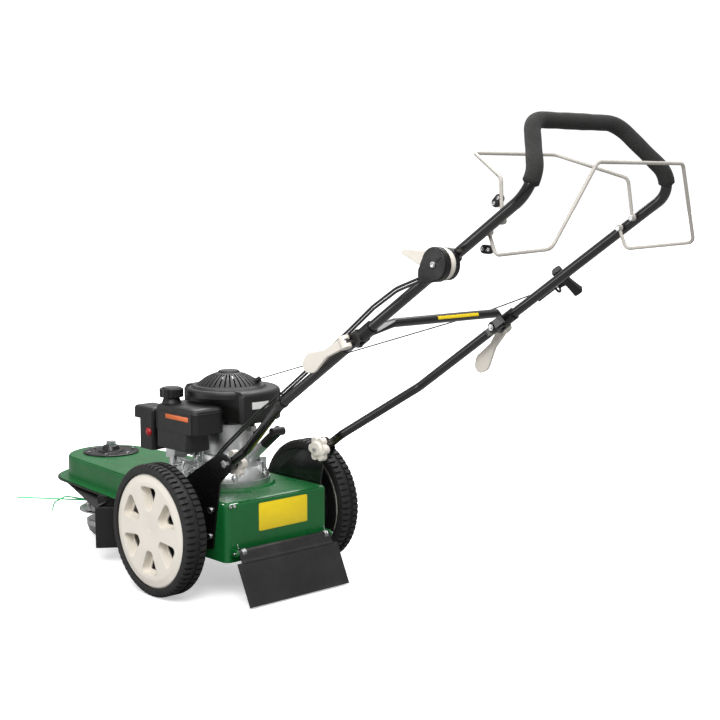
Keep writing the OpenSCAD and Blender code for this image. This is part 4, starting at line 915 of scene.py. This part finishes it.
def cable_tie(name, body, at, along, out, loops, width=0.0045, thick=0.0012):
    """Nylon strap drawn round rods: loops are (place along out, radius) of the first and the last rod."""
    along, out = Vector(along).normalized(), Vector(out).normalized()
    side = along.cross(out)
    (low_n, low_r), (high_n, high_r) = loops
    lean = math.asin((low_r - high_r) / (high_n - low_n))

    def arc(middle, radius, start, sweep, steps):
        turns = [start + sweep * k / steps for k in range(steps + 1)]
        return [(middle + radius * math.cos(a), radius * math.sin(a)) for a in turns]

    def ring(grow):
        first = arc(low_n, low_r + grow, math.radians(90) - lean, math.pi + 2 * lean, 16)
        return first + arc(high_n, high_r + grow, math.radians(270) + lean, math.pi - 2 * lean, 12)

    inner, outer = ring(0), ring(thick)
    rings = []
    half = width / 2
    for place, outline in ((-half, inner), (-half, outer), (half, outer), (half, inner), (-half, inner)):
        rings.append([Vector(at) + along * place + out * n + side * y for n, y in outline])
    strap = Form().loft(rings, caps=False)
    head = Vector(at) + side * (low_r + thick) * 0.75 + out * (low_n + low_r * 0.8)
    strap.plate(soft_rectangle(0.007, 0.007, 0.001), head, along, out, 0.004, 0.0008)
    bmesh.ops.remove_doubles(strap.bm, verts=strap.bm.verts, dist=0.00001)
    strap.piece(name, black_plastic, body, "black_plastic")


cable_tie("low_cable_tie", "lower_frame", on_handle(TIE_S - 6, CABLE_Y), UP, OUT,
          ((0, 0.0104), (0.019, 0.0032)))


def control_linkage():
    """Governor arm, link wires and springs below the tank."""
    y = LINKAGE_Y
    throttle_link = [(-0.562, y, 0.319), (-0.556, y + 0.006, 0.296), (-0.530, y + 0.004, 0.286),
                     (-0.482, y, 0.293)]
    governor_link = [(-0.580, y, 0.262), (-0.545, y + 0.007, 0.252), (-0.506, y + 0.004, 0.262),
                     (-0.484, y, 0.290)]
    choke_link = [(-0.574, y, 0.322), (-0.577, y + 0.003, 0.290), (-0.570, y, 0.256)]
    wires = Form()
    for points in (throttle_link, governor_link, choke_link):
        wires.tube(even(bent(points, LINK_BEND), 0.003), LINK_R, 8)
    wires.piece("governor_links", zinc_steel, "chassis", "steel")
    springs = Form()
    springs.coil((-0.555, y + 0.004, 0.284), (-0.518, y + 0.004, 0.266), 0.0040, 0.0011, 11, 0.006)
    springs.coil((-0.500, y + 0.006, 0.284), (-0.468, y + 0.005, 0.276), 0.0032, 0.0010, 9, 0.006)
    springs.piece("governor_springs", zinc_steel, "chassis", "steel")
    arm = Form()
    arm.plate(soft_rectangle(0.012, 0.058, 0.0055), (-0.553, y, 0.286), (-0.97, 0, 0.24), (0.24, 0, 0.97),
              ARM_T, ARM_EDGE)
    arm.plate(soft_rectangle(0.010, 0.044, 0.0045), (-0.492, y + 0.002, 0.272), (-0.8, 0, -0.6),
              (-0.6, 0, 0.8), ARM_T, ARM_EDGE)
    for at in ((-0.559, y + 0.002, 0.264), (-0.547, y + 0.002, 0.309), (-0.480, y + 0.004, 0.256)):
        arm.bolt(at, LEFT, 0.008, 0.006)
    arm.piece("governor_arm", zinc_steel, "chassis", "steel")


control_linkage()


# Front guard and trimmer line

CURTAIN_R, CURTAIN_SWEEP = (0.269, 0.272), 40
CURTAIN_Z = (0.1395, 0.1652)
LINE_ROOT, LINE_REACH, LINE_Z, LINE_TURN = 0.07475, 0.2885, 0.088, 28
LINE_R, LINE_SWELL, SWELL_REACH = 0.0019, 0.0006, 0.04
WORN_ROUND = 0.030


def guard_curtain():
    """Wall between the deck's flange and the guard's step."""
    (inner, outer), (low, high) = CURTAIN_R, CURTAIN_Z
    section = ((inner, low), (outer, low), (outer, high), (inner, high))
    steps = 40
    rings = []
    for k in range(steps + 1):
        a = math.radians(180 + CURTAIN_SWEEP * (2 * k / steps - 1))
        out = Vector((math.cos(a), math.sin(a), 0))
        rings.append([out * r + Vector((0, 0, z)) for r, z in section])
    Form().loft(rings).piece("guard_curtain", black_plastic, "chassis", "black_plastic")


def trimmer_line():
    """Two loops of nylon line on the head: one end of each flies straight, the other is worn and curls."""
    straight = [(LINE_ROOT, 0.003, LINE_Z), (LINE_REACH, 0.014, LINE_Z - 0.006)]
    worn = [(LINE_ROOT, 0, LINE_Z), (LINE_ROOT + 0.070, -0.004, LINE_Z + 0.004),
            (LINE_ROOT + 0.112, -0.012, LINE_Z - 0.018), (LINE_ROOT + 0.122, -0.018, LINE_Z - 0.042)]
    loop = [(LINE_ROOT, -0.004, LINE_Z), (LINE_ROOT, 0.006, LINE_Z)]
    form = Form()
    for half_turn in (0, 180):
        turn = Matrix.Rotation(math.radians(half_turn + LINE_TURN), 3, "Z")
        for path, bend in ((straight, 0), (worn, WORN_ROUND), (loop, 0)):
            placed = [turn @ Vector(p) for p in path]
            placed = even(bent(placed, bend) if bend else placed, 0.004)
            form.tube(placed, lambda gone: LINE_R + LINE_SWELL * math.exp(-gone / SWELL_REACH), 10)
    form.piece("trimmer_line", green_line, "spindle", "green_line", replaces=["trim_lines"])


guard_curtain()
trimmer_line()


# Engine trim

CASE_Z = 0.242
BOSS_CIRCLE, BOSS_TOP = 0.087, 0.0148
TANK_LOW, TANK_HIGH = Vector((-0.595, 0.066, 0.364)), Vector((-0.435, 0.158, 0.424))
TANK_CORNER = 0.020
SEAM_DROP, SEAM_R = 0.0125, 0.0012
RIB_FOOT, RIB_DROP, RIB_R = 0.002, 0.017, 0.0019
PILLAR = [(0.0095, 0), (0.0105, 0.001), (0.0105, 0.060), (0.009, 0.064), (0.004, 0.066)]
PILLAR_Z = 0.3845


def tank_trim():
    """Seam round the tank, and two ribs at each of its outer corners."""
    middle = (TANK_LOW + TANK_HIGH) / 2
    size = TANK_HIGH - TANK_LOW
    outline = soft_rectangle(size.x, size.y, TANK_CORNER, 8)
    seam = [Vector((middle.x + u, middle.y + v, TANK_HIGH.z - SEAM_DROP)) for u, v in outline]
    trim = Form().tube(seam + seam[:2], SEAM_R, 8)
    for end, toward in ((TANK_LOW.x + TANK_CORNER, -1), (TANK_HIGH.x - TANK_CORNER, 1)):
        for lean in (22, 68):
            a = math.radians(lean)
            foot = Vector((end + toward * TANK_CORNER * math.cos(a),
                           TANK_HIGH.y - TANK_CORNER + TANK_CORNER * math.sin(a), TANK_LOW.z + RIB_FOOT))
            rise = TANK_HIGH.z - TANK_LOW.z - RIB_DROP
            trim.tube(even([foot, foot + Vector((0, 0, rise))], 0.006), RIB_R)
    trim.piece("tank_ribs", engine_plastic, "chassis", "engine_plastic")


def shroud_pillars():
    """Round pillars where the shroud's flat wall meets its round one."""
    reach = math.sqrt(SHROUD_R ** 2 - SHROUD_FLAT ** 2)
    pillars = Form()
    for side in (-1, 1):
        at = (ENGINE_X + side * (reach - 0.007), SHROUD_FLAT - 0.005, PILLAR_Z)
        pillars.turned(PILLAR, at, (0, 0, 1), 28)
    pillars.piece("shroud_pillars", engine_plastic, "chassis", "engine_plastic")


def case_skirt():
    """Cone of the crankcase over its mounting flange, with bolt bosses."""
    foot = Vector((ENGINE_X, 0, CASE_Z))
    cone = [(0.0945, 0.0002), (0.0945, 0.003), (0.084, 0.026), (0.080, 0.030), (0.070, 0.0302)]
    skirt = Form().turned(cone, foot, (0, 0, 1), 72)
    bolts = Form()
    for turn in range(30, 390, 60):
        a = math.radians(turn)
        boss = foot + BOSS_CIRCLE * Vector((math.cos(a), math.sin(a), 0))
        skirt.turned([(0.0085, 0), (0.0085, 0.013), (0.007, 0.015)], boss, (0, 0, 1), 20)
        bolts.bolt(boss + Vector((0, 0, BOSS_TOP)), (0, 0, 1), 0.009, 0.006)
    skirt.piece("case_skirt", cast_alloy, "chassis", "cast_alloy")
    bolts.piece("case_skirt_bolts", zinc_steel, "chassis", "steel")


tank_trim()
shroud_pillars()
case_skirt()


low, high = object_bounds()
